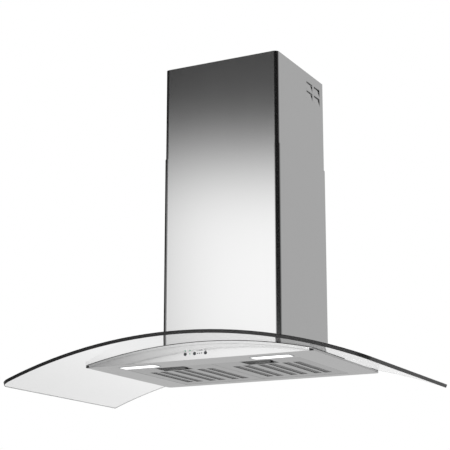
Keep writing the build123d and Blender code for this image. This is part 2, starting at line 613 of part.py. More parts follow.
def filter_face(side):
    half = FILTER_WIDTH / 2
    depths = (FILTER_BACK_EDGE, FILTER_FRONT)
    face = block((-half, half), depths, (0, FILTER_HEIGHT - SHEET))
    face = fillet(face.edges().group_by(Axis.Z)[0], FILTER_EDGE_RADIUS)
    inner_depths = (FILTER_BACK_EDGE + SHEET, FILTER_FRONT - SHEET)
    face -= block((SHEET - half, half - SHEET), inner_depths, (SHEET, FILTER_HEIGHT))
    face -= slots((-CUT, 2 * SHEET))
    # finger pocket, open downwards
    pocket_half = POCKET_WIDTH / 2
    shell_depths = (POCKET_BACK - SHEET, FILTER_FRONT - SHEET)
    face += block((-pocket_half - SHEET, pocket_half + SHEET), shell_depths, (0, POCKET_HEIGHT + SHEET))
    face -= block((-pocket_half, pocket_half), (POCKET_BACK, POCKET_FRONT), (-CUT, POCKET_HEIGHT))
    # slot for the latch's finger tab, and window for its tongue
    tab_half = LATCH_TAB_WIDTH / 2 + LATCH_CLEARANCE
    tab_depths = (POCKET_BACK + SHEET, LATCH_TAB_BACK + LATCH_TAB_THICKNESS + LATCH_CLEARANCE)
    face -= block((-tab_half, tab_half), tab_depths, (POCKET_HEIGHT - CUT, POCKET_HEIGHT + 2 * SHEET))
    window_half = LATCH_WIDTH / 2 + LATCH_CLEARANCE
    window_depths = (FILTER_FRONT - 2 * SHEET, FILTER_FRONT + SHEET)
    window_heights = (POCKET_HEIGHT + SHEET, FILTER_HEIGHT + SHEET)
    face -= block((-window_half, window_half), window_depths, window_heights)
    # lugs that rest on the pan's rear edge
    lug_z = SHEET + LUG_CLEARANCE
    lug_depths = (OPENING_BACK - LUG_OVERLAP, FILTER_BACK_EDGE + SHEET)
    for x in (-LUG_SPACING / 2, LUG_SPACING / 2):
        face += block((x - LUG_WIDTH / 2, x + LUG_WIDTH / 2), lug_depths, (lug_z, lug_z + SHEET))
    return Pos(filter_centre_x(side), 0, 0) * face


def filter_mesh(side):
    """Pleated mesh: its folds run across the filter, with flat crests."""
    half = FILTER_WIDTH / 2 - SHEET - MESH_CLEARANCE
    back = FILTER_BACK_EDGE + SHEET + MESH_CLEARANCE
    low, high = SHEET, FILTER_HEIGHT - SHEET - MESH_THICKNESS
    pleats = round((MESH_FRONT - back) / PLEAT_PITCH)
    pitch = (MESH_FRONT - back) / pleats
    lower = []
    for number in range(pleats):
        start = back + number * pitch
        lower += [(start, low), (start + pitch / 4, low)]
        lower += [(start + pitch / 2, high), (start + 3 * pitch / 4, high)]
    lower.append((MESH_FRONT, low))
    upper = [(depth, z + MESH_THICKNESS) for depth, z in reversed(lower)]
    plane = Plane(origin=(half, 0, 0), x_dir=(0, -1, 0), z_dir=(-1, 0, 0))
    sheet = extrude(plane * make_face(Polyline(*lower, *upper, close=True)), 2 * half)
    return Pos(filter_centre_x(side), 0, 0) * sheet


def filter_back(side):
    half = FILTER_WIDTH / 2
    plate = block((-half, half), (FILTER_BACK_EDGE, FILTER_FRONT), (FILTER_HEIGHT - SHEET, FILTER_HEIGHT))
    plate -= slots((0, 2 * FILTER_HEIGHT))
    return Pos(filter_centre_x(side), 0, 0) * plate


def latch(side):
    half = LATCH_WIDTH / 2
    slider = block((-half, half), (LATCH_TAB_BACK, LATCH_TIP), (SLIDER_LOW, SLIDER_HIGH))
    tab_half = LATCH_TAB_WIDTH / 2
    tab_depths = (LATCH_TAB_BACK, LATCH_TAB_BACK + LATCH_TAB_THICKNESS)
    slider += block((-tab_half, tab_half), tab_depths, (SHEET, SLIDER_LOW))
    # two moulded spring arms, cut free of the slider on three sides
    slot_back = LATCH_TAB_BACK + 2 * LATCH_TAB_THICKNESS
    slot_depths = (slot_back, slot_back + (LATCH_TIP - LATCH_TAB_BACK) / 2)
    for arm in (-1, 1):
        x = arm * (half - 2 * LATCH_ARM_WIDTH)
        slot_half = LATCH_ARM_WIDTH / 2
        slider -= block((x - slot_half, x + slot_half), slot_depths, (0, FILTER_HEIGHT))
    return Pos(filter_centre_x(side), 0, 0) * slider


# ---- chimney ----
def cover_outline(half_width, back, front, corner_radius):
    """Closed U-shaped section of a folded cover, open to the wall between its returns."""
    corners = [(-half_width, -back), (-half_width, -front), (half_width, -front), (half_width, -back)]
    face = make_face(Polyline(*corners, close=True))
    return fillet(face.vertices().sort_by(Axis.Y)[:2], corner_radius)


def folded_cover(half_width, back, front, corner_radius, z_range):
    """Folded sheet cover: front, two sides and turned-in rear edges."""
    z0, z1 = z_range
    outer = cover_outline(half_width, back, front, corner_radius)
    inner = cover_outline(half_width - SHEET, back + SHEET, front - SHEET, corner_radius - SHEET)
    gap = cover_outline(half_width - SHEET - COVER_RETURN, back - SHEET, front / 2, SHEET)
    return Pos(0, 0, z0) * extrude(outer - inner - gap, z1 - z0)


def lower_chimney_cover():
    start_z = arch_z(SEAL_TOP_RADIUS, LOWER_HALF) - GLASS_THICKNESS
    cover = folded_cover(LOWER_HALF, 0, COVER_DEPTH, COVER_CORNER_RADIUS, (start_z, COVER_SEAM_Z))
    under_glass = under_arch(0, SEAL_TOP_RADIUS, (-COVER_WIDTH, COVER_WIDTH), (-CUT, 2 * COVER_DEPTH))
    return cover - under_glass


def chimney_base_seal():
    outer = cover_outline(LOWER_HALF, 0, COVER_DEPTH, COVER_CORNER_RADIUS)
    inner_radius = max(COVER_CORNER_RADIUS - SEAL_WIDTH, SHEET)
    inner = cover_outline(LOWER_HALF - SEAL_WIDTH, -SHEET, COVER_DEPTH - SEAL_WIDTH, inner_radius)
    column = extrude(outer - inner, 2 * GLASS_APEX_Z)
    radii = (GLASS_TOP_RADIUS, SEAL_TOP_RADIUS)
    return column & between_arches(*radii, (-COVER_WIDTH, COVER_WIDTH), (-CUT, 2 * COVER_DEPTH))


def louvre_places():
    """Depth and height of the middle of each louvre on one side."""
    depths = [LOUVRE_CENTRE_DEPTH + step * LOUVRE_PITCH_DEPTH for step in (-0.5, 0.5)]
    heights = [LOUVRE_MIDDLE_Z + step * LOUVRE_PITCH_Z for step in (-0.5, 0.5)]
    return [(depth, z) for depth in depths for z in heights]


def louvre_blade(depth, z):
    """Blade of one louvre: joined to the sheet at its foot and leaning inwards."""
    x = UPPER_HALF - SHEET
    foot = z - LOUVRE_HEIGHT / 2
    head = z + LOUVRE_HEIGHT / 2 - SHEET
    corners = [
        (x + SHEET, foot),
        (x + SHEET, foot + SHEET),
        (x - LOUVRE_INSET + SHEET, head),
        (x - LOUVRE_INSET, head),
        (x, foot),
    ]
    outline = Polyline(*corners, close=True)
    half = LOUVRE_WIDTH / 2 - LOUVRE_SIDE_GAP
    return front_extrusion(outline, (depth - half, depth + half))


def upper_chimney_cover():
    z_range = (UPPER_BOTTOM_Z, COVER_TOP_Z)
    corner_radius = COVER_CORNER_RADIUS - SHEET - COVER_CLEARANCE
    cover = folded_cover(UPPER_HALF, UPPER_BACK, UPPER_DEPTH, corner_radius, z_range)
    for side in (LEFT, RIGHT):
        for depth, z in louvre_places():
            depths = (depth - LOUVRE_WIDTH / 2, depth + LOUVRE_WIDTH / 2)
            heights = (z - LOUVRE_HEIGHT / 2, z + LOUVRE_HEIGHT / 2)
            cover -= on_side(side, block((UPPER_HALF - 2 * SHEET, UPPER_HALF + SHEET), depths, heights))
            cover += on_side(side, louvre_blade(depth, z))
    for x, z in bracket_screw_places():
        cover -= rod(BOX_SCREW_RADIUS + SCREW_CLEARANCE, (x, 0, z), (x, -2 * UPPER_BACK - SHEET, z))
    return cover


def chimney_wall_bracket():
    top = COVER_TOP_Z - TOP_BRACKET_DROP
    z_range = (top - TOP_BRACKET_HEIGHT, top)
    half = TOP_BRACKET_HALF
    thick = TOP_BRACKET_THICKNESS
    tab_depth = UPPER_BACK + SHEET
    strip = block((-half, half), (0, thick), z_range)
    jog = block((half - thick, half), (0, tab_depth + thick), z_range)
    tab = block((half - thick, UPPER_HALF - SHEET), (tab_depth, tab_depth + thick), z_range)
    strip += jog + mirrored(jog) + tab + mirrored(tab)
    for x, z in bracket_screw_places():
        strip -= rod(BOX_SCREW_RADIUS + SCREW_CLEARANCE, (x, 0, z), (x, -2 * COVER_DEPTH, z))
    for side in (LEFT, RIGHT):
        x = side * (TOP_BRACKET_HALF - TOP_BRACKET_HOLE_MARGIN)
        z = top - TOP_BRACKET_HEIGHT / 2
        strip -= rod(WALL_HOLE_RADIUS, (x, CUT, z), (x, -COVER_DEPTH, z))
    return strip


def bracket_screw_places():
    """Across and up: the screws that hold the upper cover to its bracket."""
    x = UPPER_HALF - SHEET - COVER_RETURN / 2
    middle = COVER_TOP_Z - TOP_BRACKET_DROP - TOP_BRACKET_HEIGHT / 2
    quarter = TOP_BRACKET_HEIGHT / 4
    return [(side * x, middle + step * quarter) for side in (LEFT, RIGHT) for step in (-1, 1)]


def chimney_bracket_screws():
    face_depth = UPPER_BACK + SHEET + TOP_BRACKET_THICKNESS
    screw = pan_head_screw(BOX_SCREW_RADIUS, TOP_BRACKET_THICKNESS + SHEET)
    return Compound([Pos(x, -face_depth, z) * Rot(90, 0, 0) * screw for x, z in bracket_screw_places()])


def cover_brackets():
    z0, z1 = BRACKET_BOTTOM_Z, BRACKET_BOTTOM_Z + BRACKET_HEIGHT
    depths = (BRACKET_MIDDLE_DEPTH - BRACKET_LENGTH / 2, BRACKET_MIDDLE_DEPTH + BRACKET_LENGTH / 2)
    outer_x = LOWER_HALF - SHEET
    angle = block((BOX_HALF, BOX_HALF + SHEET), depths, (z0, z1))
    angle += block((BOX_HALF, outer_x), depths, (z1 - SHEET, z1))
    angle += block((outer_x - SHEET, outer_x), depths, (z0, z1))
    return Compound([angle, mirrored(angle)])


# ---- wall plate and blower ----
def wall_plate():
    z_range = (WALL_PLATE_BOTTOM_Z, WALL_PLATE_TOP_Z)
    plate = block((-WALL_PLATE_HALF, WALL_PLATE_HALF), (0, WALL_PLATE_THICKNESS), z_range)
    upright = [edge for edge in plate.edges() if abs(edge.length - WALL_PLATE_THICKNESS) < 0.01]
    plate = fillet(upright, 2 * WALL_HOLE_RADIUS)
    for side in (LEFT, RIGHT):
        for step in (-0.5, 0.5):
            x = side * WALL_HOLE_X
            z = WALL_HOLE_MIDDLE_Z + step * WALL_HOLE_SPACING_Z
            plate -= rod(WALL_HOLE_RADIUS, (x, CUT, z), (x, -COVER_DEPTH, z))
    return plate


def blower_box():
    """Four walls and two flanges that follow the carrier; its lid is a piece of its own."""
    depths = (BOX_BACK, BOX_FRONT)
    bottom = arch_z(PLATE_TOP_RADIUS, BOX_HALF) - SHEET
    box = block((-BOX_HALF, BOX_HALF), depths, (bottom, BOX_TOP_Z - SHEET))
    inner_half = BOX_HALF - SHEET
    box -= block((-inner_half, inner_half), (BOX_BACK + SHEET, BOX_FRONT - SHEET), (0, BOX_TOP_Z))
    box -= under_arch(0, PLATE_TOP_RADIUS, (-2 * BOX_HALF, 2 * BOX_HALF), (-CUT, 2 * BOX_FRONT))
    flange_x = (BOX_HALF - SHEET / 2, BOX_HALF + BOX_FLANGE)
    flange = between_arches(PLATE_TOP_RADIUS, FLANGE_TOP_RADIUS, flange_x, depths)
    box += flange + mirrored(flange)
    for x, depth in screw_places(BOX_SCREW_X, BOX_SCREW_DEPTHS):
        box -= on_arch(PLATE_TOP_RADIUS, x, depth, Cylinder(BOX_SCREW_RADIUS + SCREW_CLEARANCE, 6 * SHEET))
    return box


def blower_box_lid():
    lid = block((-BOX_HALF, BOX_HALF), (BOX_BACK, BOX_FRONT), (BOX_TOP_Z - SHEET, BOX_TOP_Z))
    lid -= Pos(0, -COLLAR_DEPTH, BOX_TOP_Z) * Cylinder(COLLAR_INNER_RADIUS, 4 * SHEET)
    lid -= Pos(*gland_place(), BOX_TOP_Z) * Cylinder(GLAND_HOLE_RADIUS, 4 * SHEET)
    return lid


def blower_box_screws():
    screw = pan_head_screw(BOX_SCREW_RADIUS, 2 * SHEET + BOX_SCREW_OVERRUN)
    places = screw_places(BOX_SCREW_X, BOX_SCREW_DEPTHS)
    return Compound([on_arch(FLANGE_TOP_RADIUS, x, depth, screw) for x, depth in places])


def gland_place():
    """Across and back-to-front place of the mains inlet on the box's top."""
    inset = 2 * GLAND_RADIUS
    return (inset - BOX_HALF, -(BOX_BACK + inset))


def cable_gland():
    nut = extrude(RegularPolygon(GLAND_RADIUS, 6), GLAND_HEIGHT / 3)
    dome = Pos(0, 0, GLAND_HEIGHT / 3) * extrude(Circle(0.8 * GLAND_RADIUS), GLAND_HEIGHT / 2)
    dome = chamfer(dome.edges().group_by(Axis.Z)[-1], GLAND_RADIUS / 6)
    gland = nut + dome - Cylinder(GLAND_HOLE_RADIUS, 4 * GLAND_HEIGHT)
    return Pos(*gland_place(), BOX_TOP_Z) * gland


def scroll_outline(grow):
    """Volute seen from the side: three quarter arcs of growing radius, then the outlet."""
    step = SCROLL_GROWTH / 2
    first = SCROLL_FIRST_RADIUS + grow
    second = SCROLL_SECOND_RADIUS + grow
    third = SCROLL_THIRD_RADIUS + grow
    inner_wall = SCROLL_OUTLET_START - grow
    tongue = SCROLL_OUTLET_START + step
    start = (-step, first - step)
    side = (-step - first, -step)
    foot = (step, -step - second)
    front = (step + third, step)
    edges = [
        RadiusArc(start, side, -first),
        RadiusArc(side, foot, -second),
        RadiusArc(foot, front, -third),
        Line(front, (front[0], SCROLL_TOP)),
        Line((front[0], SCROLL_TOP), (inner_wall, SCROLL_TOP)),
        Line((inner_wall, SCROLL_TOP), (inner_wall, start[1] + tongue - grow)),
        RadiusArc((inner_wall, start[1] + tongue - grow), start, tongue - grow),
    ]
    return make_face(edges)


def side_extrusion(face, x_range):
    """An outline seen from the right (forward, up), run along X about the wheel's axis."""
    x0, x1 = x_range
    plane = Plane(origin=(x0, -WHEEL_AXIS_DEPTH, WHEEL_AXIS_Z), x_dir=(0, -1, 0), z_dir=(-1, 0, 0))
    return extrude(plane * face, x0 - x1)


def scroll_half(side):
    outer_half = SCROLL_HALF_WIDTH + SCROLL_WALL
    shell = side_extrusion(scroll_outline(SCROLL_WALL), (0, outer_half))
    shell -= side_extrusion(scroll_outline(0), (-CUT, SCROLL_HALF_WIDTH))
    shell -= side_extrusion(Circle(SCROLL_INLET_RADIUS), (0, outer_half + CUT))
    outlet = (WHEEL_AXIS_DEPTH + SCROLL_OUTLET_START, WHEEL_AXIS_DEPTH + SCROLL_OUTLET_END)
    outlet_heights = (BOX_TOP_Z - 2 * SCROLL_WALL, BOX_TOP_Z + SCROLL_WALL)
    shell -= block((-CUT, SCROLL_HALF_WIDTH), outlet, outlet_heights)
    return on_side(side, shell)


def blade_face():
    """One forward-curved blade, seen along the wheel's axis."""
    middle_radius = (WHEEL_INNER_RADIUS + WHEEL_RADIUS) / 2
    tip_radius = WHEEL_RADIUS - WHEEL_BLADE_THICKNESS / 100
    inner = Vector(WHEEL_INNER_RADIUS, 0)
    belly = Vector(middle_radius, 0).rotate(Axis.Z, WHEEL_BLADE_LEAN / 6)
    tip = Vector(tip_radius, 0).rotate(Axis.Z, WHEEL_BLADE_LEAN)
    turn = math.degrees(WHEEL_BLADE_THICKNESS / middle_radius)
    inner_2, belly_2, tip_2 = [point.rotate(Axis.Z, turn) for point in (inner, belly, tip)]
    hollow_side = ThreePointArc(inner, belly, tip)
    round_side = ThreePointArc(tip_2, belly_2, inner_2)
    return make_face([hollow_side, Line(tip, tip_2), round_side, Line(inner_2, inner)])


def fan_wheel():
    half = WHEEL_HALF_WIDTH
    ring_inner = (WHEEL_INNER_RADIUS + WHEEL_RADIUS) / 2
    rim = Circle(WHEEL_RADIUS) - Circle(ring_inner)
    disc = Circle(WHEEL_INNER_RADIUS + WHEEL_BLADE_THICKNESS) - Circle(MOTOR_SHAFT_RADIUS)
    hub = Circle(WHEEL_HUB_RADIUS) - Circle(MOTOR_SHAFT_RADIUS)
    wheel = side_extrusion(disc, (-WHEEL_RING_THICKNESS / 2, WHEEL_RING_THICKNESS / 2))
    wheel += side_extrusion(hub, (-WHEEL_HUB_RADIUS, WHEEL_HUB_RADIUS))
    angles = [360 * number / WHEEL_BLADES for number in range(WHEEL_BLADES)]
    blades = [side_extrusion(blade_face().rotate(Axis.Z, angle), (-half, half)) for angle in angles]
    left_ring = side_extrusion(rim, (-half, WHEEL_RING_THICKNESS - half))
    right_ring = side_extrusion(rim, (half - WHEEL_RING_THICKNESS, half))
    return wheel.fuse(*blades, left_ring, right_ring)


def motor_shaft():
    far_end = 2 * MOTOR_SHAFT_RADIUS - MOTOR_FAR_END
    return side_extrusion(Circle(MOTOR_SHAFT_RADIUS), (far_end, WHEEL_HUB_RADIUS))


def motor_body():
    can = side_extrusion(Circle(MOTOR_RADIUS), (-MOTOR_FAR_END, -MOTOR_INNER_END))
    can = chamfer(can.edges().filter_by(GeomType.CIRCLE), MOTOR_RADIUS / 10)
    nose = side_extrusion(Circle(MOTOR_RADIUS / 3), (-MOTOR_INNER_END, -MOTOR_INNER_END + 2 * SCROLL_WALL))
    bore = Circle(MOTOR_SHAFT_RADIUS + MOTOR_SHAFT_CLEARANCE)
    return can + nose - side_extrusion(bore, (MOTOR_SHAFT_RADIUS - MOTOR_FAR_END, 0))


def bush_places():
    """Forward and up of the three motor supports, about the wheel's axis."""
    turns = [math.radians(angle) for angle in MOTOR_ARM_ANGLES]
    return [(MOTOR_ARM_REACH * math.cos(turn), MOTOR_ARM_REACH * math.sin(turn)) for turn in turns]


def motor_bracket():
    bush_face = -(SCROLL_HALF_WIDTH + SCROLL_WALL + MOTOR_BUSH_THICKNESS)
    x_range = (bush_face - MOTOR_RING_THICKNESS, bush_face)
    spider = Circle(MOTOR_RADIUS + MOTOR_RING_THICKNESS)
    arm = Pos(MOTOR_ARM_REACH / 2, 0) * Rectangle(MOTOR_ARM_REACH, MOTOR_ARM_WIDTH)
    arm += Pos(MOTOR_ARM_REACH, 0) * Circle(MOTOR_ARM_WIDTH / 2)
    for angle in MOTOR_ARM_ANGLES:
        spider += Rot(0, 0, angle) * arm
    spider -= Circle(MOTOR_RADIUS)
    return side_extrusion(spider, x_range)


def motor_bushes():
    outer = -(SCROLL_HALF_WIDTH + SCROLL_WALL)
    x_range = (outer - MOTOR_BUSH_THICKNESS, outer)
    bush = Circle(MOTOR_BUSH_RADIUS)
    return Compound([side_extrusion(Pos(*place) * bush, x_range) for place in bush_places()])


def capacitor():
    inset = SHEET + CAPACITOR_RADIUS
    x = BOX_HALF - inset
    depth = BOX_FRONT - inset - SHEET
    can = Pos(x, -depth, WHEEL_AXIS_Z) * extrude(Circle(CAPACITOR_RADIUS), CAPACITOR_LENGTH)
    return chamfer(can.edges().filter_by(GeomType.CIRCLE), CAPACITOR_RADIUS / 8)


def control_box():
    width, length, height = CONTROL_BOX_SIZE
    top = BOX_TOP_Z - GLAND_HEIGHT
    back = BOX_BACK + width
    case = block((BOX_HALF, BOX_HALF + width), (back, back + length), (top - height, top))
    outer_edges = case.edges().group_by(Axis.X)[-1]
    return fillet(outer_edges, CONTROL_BOX_WALL)


# ---- outlet collar with its two non-return flaps ----
def outlet_collar():
    flange = extrude(Circle(COLLAR_RADIUS + COLLAR_FLANGE), COLLAR_FLANGE_THICKNESS)
    tube = extrude(Circle(COLLAR_RADIUS), COLLAR_HEIGHT)
    collar = flange + tube - Cylinder(COLLAR_INNER_RADIUS, 4 * COLLAR_HEIGHT)
    seat = Circle(COLLAR_INNER_RADIUS + COLLAR_WALL / 2) - Circle(COLLAR_INNER_RADIUS - FLAP_SEAT_WIDTH)
    collar += Pos(0, 0, FLAP_SEAT_HEIGHT - COLLAR_WALL) * extrude(seat, COLLAR_WALL)
    collar = Pos(0, -COLLAR_DEPTH, BOX_TOP_Z) * collar
    return collar - flap_pin_rod(FLAP_PIN_RADIUS, COLLAR_RADIUS + CUT)


def flap_pin_rod(radius, reach):
    """Round bar along the flaps' common axis."""
    return rod(radius, (0, reach - COLLAR_DEPTH, FLAP_AXIS_Z), (0, -reach - COLLAR_DEPTH, FLAP_AXIS_Z))


def flap_pin():
    return flap_pin_rod(FLAP_PIN_RADIUS, COLLAR_RADIUS - COLLAR_WALL / 4)


def knuckle_spans(side):
    """Depths of a flap's knuckles: the two flaps take turns along the pin."""
    pitch = FLAP_KNUCKLE_LENGTH + FLAP_CLEARANCE
    turns = (-2, 0, 2) if side == LEFT else (-1, 1)
    half = FLAP_KNUCKLE_LENGTH / 2
    middles = [COLLAR_DEPTH + turn * pitch for turn in turns]
    return [(middle - half, middle + half) for middle in middles]


def flap(side):
    radius = COLLAR_INNER_RADIUS - FLAP_CLEARANCE
    bottom = FLAP_SEAT_Z + FLAP_REST_GAP
    edge = FLAP_KNUCKLE_RADIUS + FLAP_CLEARANCE
    heights = (bottom, bottom + FLAP_THICKNESS)
    disc = Pos(0, -COLLAR_DEPTH, bottom) * extrude(Circle(radius), FLAP_THICKNESS)
    plate = on_side(side, disc & block((edge, 2 * radius), (0, 2 * COLLAR_DEPTH), heights))
    for d0, d1 in knuckle_spans(side):
        plate += rod(FLAP_KNUCKLE_RADIUS, (0, -d0, FLAP_AXIS_Z), (0, -d1, FLAP_AXIS_Z))
        plate += on_side(side, block((0, 2 * edge), (d0, d1), heights))
    return plate - flap_pin_rod(FLAP_PIN_RADIUS + FLAP_KNUCKLE_CLEARANCE, 2 * radius)


save("glass_canopy", glass_canopy())
save("glass_gasket", glass_gasket())
save("rear_glass_pads", rear_glass_pads())
save("glass_spacers", glass_spacers())
save("glass_washers", glass_washers())
save("glass_screws", glass_screws())
save("top_plate", top_plate())
save("bottom_pan", bottom_pan())
save("front_fascia", front_fascia())
save("corner_caps", corner_caps())
save("switch_block", switch_block())
save("green_leds", led_lenses(green_led_places()))
save("speed_leds", led_lenses(speed_led_places()))
for place, x in zip(("left", "middle", "right"), BUTTON_XS):
    save(f"{place}_button", button(x))
for side, name in SIDE_NAMES.items():
    save(f"{name}_lamp_housing", lamp_housing(side))
    save(f"{name}_lamp_diffuser", lamp_diffuser(side))
    save(f"{name}_led_board", led_board(side))
    save(f"{name}_filter_face", filter_face(side))
    save(f"{name}_filter_mesh", filter_mesh(side))
    save(f"{name}_filter_back", filter_back(side))
    save(f"{name}_latch", latch(side))
    save(f"{name}_scroll", scroll_half(side))
    save(f"{name}_flap", flap(side))
save("lower_chimney_cover", lower_chimney_cover())
save("chimney_base_seal", chimney_base_seal())
save("cover_brackets", cover_brackets())
save("upper_chimney_cover", upper_chimney_cover())
save("chimney_wall_bracket", chimney_wall_bracket())
save("chimney_bracket_screws", chimney_bracket_screws())
save("wall_plate", wall_plate())
save("blower_box", blower_box())
save("blower_box_lid", blower_box_lid())
save("blower_box_screws", blower_box_screws())
save("cable_gland", cable_gland())
save("fan_wheel", fan_wheel())
save("motor_shaft", motor_shaft())
save("motor_body", motor_body())
save("motor_bracket", motor_bracket())
save("motor_bushes", motor_bushes())
save("capacitor", capacitor())
save("control_box", control_box())
save("outlet_collar", outlet_collar())
save("flap_pin", flap_pin())
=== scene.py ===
"""Finishes, small trim, studio and camera for a wall-mounted range hood with a curved glass canopy.

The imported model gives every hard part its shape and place. Each class below is one
sub-assembly of the hood: it holds its sizes and finishes, builds what is too fine for the
model, and dresses its nodes. Lengths in the fields are millimetres, as a maker writes them,
and only the studio's are metres.
"""

import logging
import math
from dataclasses import dataclass
from enum import Enum

import bmesh
import bpy
from mathutils import Matrix, Vector


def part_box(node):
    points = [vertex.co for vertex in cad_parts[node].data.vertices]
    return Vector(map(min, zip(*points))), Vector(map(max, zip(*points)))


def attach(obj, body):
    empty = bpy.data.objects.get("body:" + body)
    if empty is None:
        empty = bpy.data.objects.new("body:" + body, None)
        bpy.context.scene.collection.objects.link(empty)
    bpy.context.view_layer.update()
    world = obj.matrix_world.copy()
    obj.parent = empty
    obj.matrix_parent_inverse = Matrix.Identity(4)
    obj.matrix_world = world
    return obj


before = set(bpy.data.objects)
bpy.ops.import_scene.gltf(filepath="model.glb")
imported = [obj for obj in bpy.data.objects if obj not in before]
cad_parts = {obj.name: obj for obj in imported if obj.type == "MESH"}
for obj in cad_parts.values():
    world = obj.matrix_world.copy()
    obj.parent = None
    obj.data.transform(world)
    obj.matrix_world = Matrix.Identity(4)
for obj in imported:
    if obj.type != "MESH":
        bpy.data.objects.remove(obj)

LOG = logging.getLogger("range_hood")
MILLIMETRE = 0.001
UNDERSIDE = -0.180  # height of the hood's flat underside in the frame, in metres
WAVE_FACTOR = 20.0  # the wave texture repeats every tau / (this x its scale)

Material = bpy.types.Material
Node = bpy.types.Node
Socket = bpy.types.NodeSocket
Tree = bpy.types.NodeTree
Span = tuple[float, float]
Triple = tuple[float, float, float]


def linear(colour: str) -> tuple[float, float, float, float]:
    """Turns an sRGB hex colour into the linear colour that a shader takes.

    Args:
        colour: six hex digits, such as "C8CACC".

    Returns:
        Linear red, green, blue and an alpha of 1.
    """
    parts = [int(colour[i : i + 2], 16) / 255 for i in (0, 2, 4)]
    red, green, blue = (p / 12.92 if p <= 0.04045 else ((p + 0.055) / 1.055) ** 2.4 for p in parts)
    return red, green, blue, 1.0


def add(tree: Tree, kind: str, inputs: dict[str | int, object], **settings: object) -> Node:
    """Adds a node with its settings and links.

    Args:
        tree: the node tree to add it to.
        kind: the node's type name.
        inputs: socket name or number, and the socket that feeds it or its own value.
        settings: the node's properties.

    Returns:
        The new node.
    """
    node = tree.nodes.new(kind)
    for key, value in settings.items():
        setattr(node, key, value)
    for key, value in inputs.items():
        if isinstance(value, bpy.types.NodeSocket):
            tree.links.new(value, node.inputs[key])
        else:
            node.inputs[key].default_value = value
    return node


class Brushing(Enum):
    """The way in which a sheet was brushed, as the size in mm of one streak along X, Y and Z."""

    ACROSS = (90.0, 1.6, 1.6)
    UPRIGHT = (1.6, 1.6, 120.0)
    DEEP = (1.6, 90.0, 1.6)


@dataclass(frozen=True)
class Finish:
    """One finish: two close shades, a gloss and a fine relief, varied by noise of a real size."""

    name: str
    light: str
    dark: str
    roughness: float
    spread: float
    grain: Triple
    relief: float
    metallic: float = 0.0
    detail: float = 3.0

    def start(self) -> tuple[Material, Tree, Node, Node]:
        """Makes the empty material.

        Returns:
            The material, its tree, its Principled shader and its texture coordinates.
        """
        material = bpy.data.materials.new(self.name)
        material.use_nodes = True
        tree = material.node_tree
        tree.nodes.clear()
        shader = add(tree, "ShaderNodeBsdfPrincipled", {"Metallic": self.metallic})
        add(tree, "ShaderNodeOutputMaterial", {"Surface": shader.outputs[0]})
        return material, tree, shader, add(tree, "ShaderNodeTexCoord", {})

    def scaled(self, tree: Tree, coords: Node, size: Triple) -> Socket:
        """Object coordinates in which one unit measures size.

        Args:
            tree: the material's tree.
            coords: its texture coordinates.
            size: the length of one unit along X, Y and Z, in mm.

        Returns:
            The scaled coordinates.
        """
        scale = [1.0 / (length * MILLIMETRE) for length in size]
        turned = add(tree, "ShaderNodeMapping", {"Vector": coords.outputs["Object"], "Scale": scale})
        return turned.outputs[0]

    def pattern(self, tree: Tree, coords: Node, size: Triple) -> Socket:
        """Noise whose patches measure size in mm along X, Y and Z.

        Args:
            tree: the material's tree.
            coords: its texture coordinates.
            size: the size of one patch, in mm.

        Returns:
            The noise's value socket.
        """
        at = self.scaled(tree, coords, size)
        fine = add(tree, "ShaderNodeTexNoise", {"Vector": at, "Scale": 1.0, "Detail": self.detail})
        return fine.outputs[0]

    def shade(self, tree: Tree, shader: Node, value: Socket) -> None:
        """Lets one pattern vary the colour, the gloss and the relief.

        Args:
            tree: the material's tree.
            shader: its Principled shader.
            value: the pattern, from 0 to 1.
        """
        tint = add(
            tree,
            "ShaderNodeMix",
            {0: value, 6: linear(self.dark), 7: linear(self.light)},
            data_type="RGBA",
        )
        tree.links.new(tint.outputs[2], shader.inputs["Base Color"])
        gloss = add(
            tree,
            "ShaderNodeMapRange",
            {
                "Value": value,
                "To Min": self.roughness - self.spread,
                "To Max": self.roughness + self.spread,
            },
        )
        tree.links.new(gloss.outputs[0], shader.inputs["Roughness"])
        relief = add(
            tree,
            "ShaderNodeBump",
            {"Height": value, "Strength": 1.0, "Distance": self.relief * MILLIMETRE},
        )
        tree.links.new(relief.outputs[0], shader.inputs["Normal"])

    def make(self) -> Material:
        """Makes the material.

        Returns:
            The finished material.
        """
        material, tree, shader, coords = self.start()
        self.shade(tree, shader, self.pattern(tree, coords, self.grain))
        return material


@dataclass(frozen=True)
class BrushedSteel(Finish):
    """Brushed stainless steel: straight streaks and faint, broad handling marks."""

    marks: Triple = (160.0, 160.0, 120.0)
    marks_share: float = 0.35

    def make(self) -> Material:
        """Adds the broad marks to the streaks.

        Returns:
            The finished material.
        """
        material, tree, shader, coords = self.start()
        streaks = self.pattern(tree, coords, self.grain)
        broad = self.pattern(tree, coords, self.marks)
        worn = add(
            tree, "ShaderNodeMix", {0: self.marks_share, 2: streaks, 3: broad}, data_type="FLOAT"
        )
        self.shade(tree, shader, worn.outputs[0])
        return material


@dataclass(frozen=True)
class Spangled(Finish):
    """Hot-dip galvanised sheet: a mosaic of zinc crystals, each with its own grey."""

    def pattern(self, tree: Tree, coords: Node, size: Triple) -> Socket:
        """Crystals that measure size in mm, in place of noise.

        Args:
            tree: the material's tree.
            coords: its texture coordinates.
            size: the size of one crystal, in mm.

        Returns:
            The crystals' grey.
        """
        at = self.scaled(tree, coords, size)
        cells = add(tree, "ShaderNodeTexVoronoi", {"Vector": at, "Scale": 1.0})
        grey = add(tree, "ShaderNodeSeparateColor", {0: cells.outputs["Color"]})
        return grey.outputs[0]


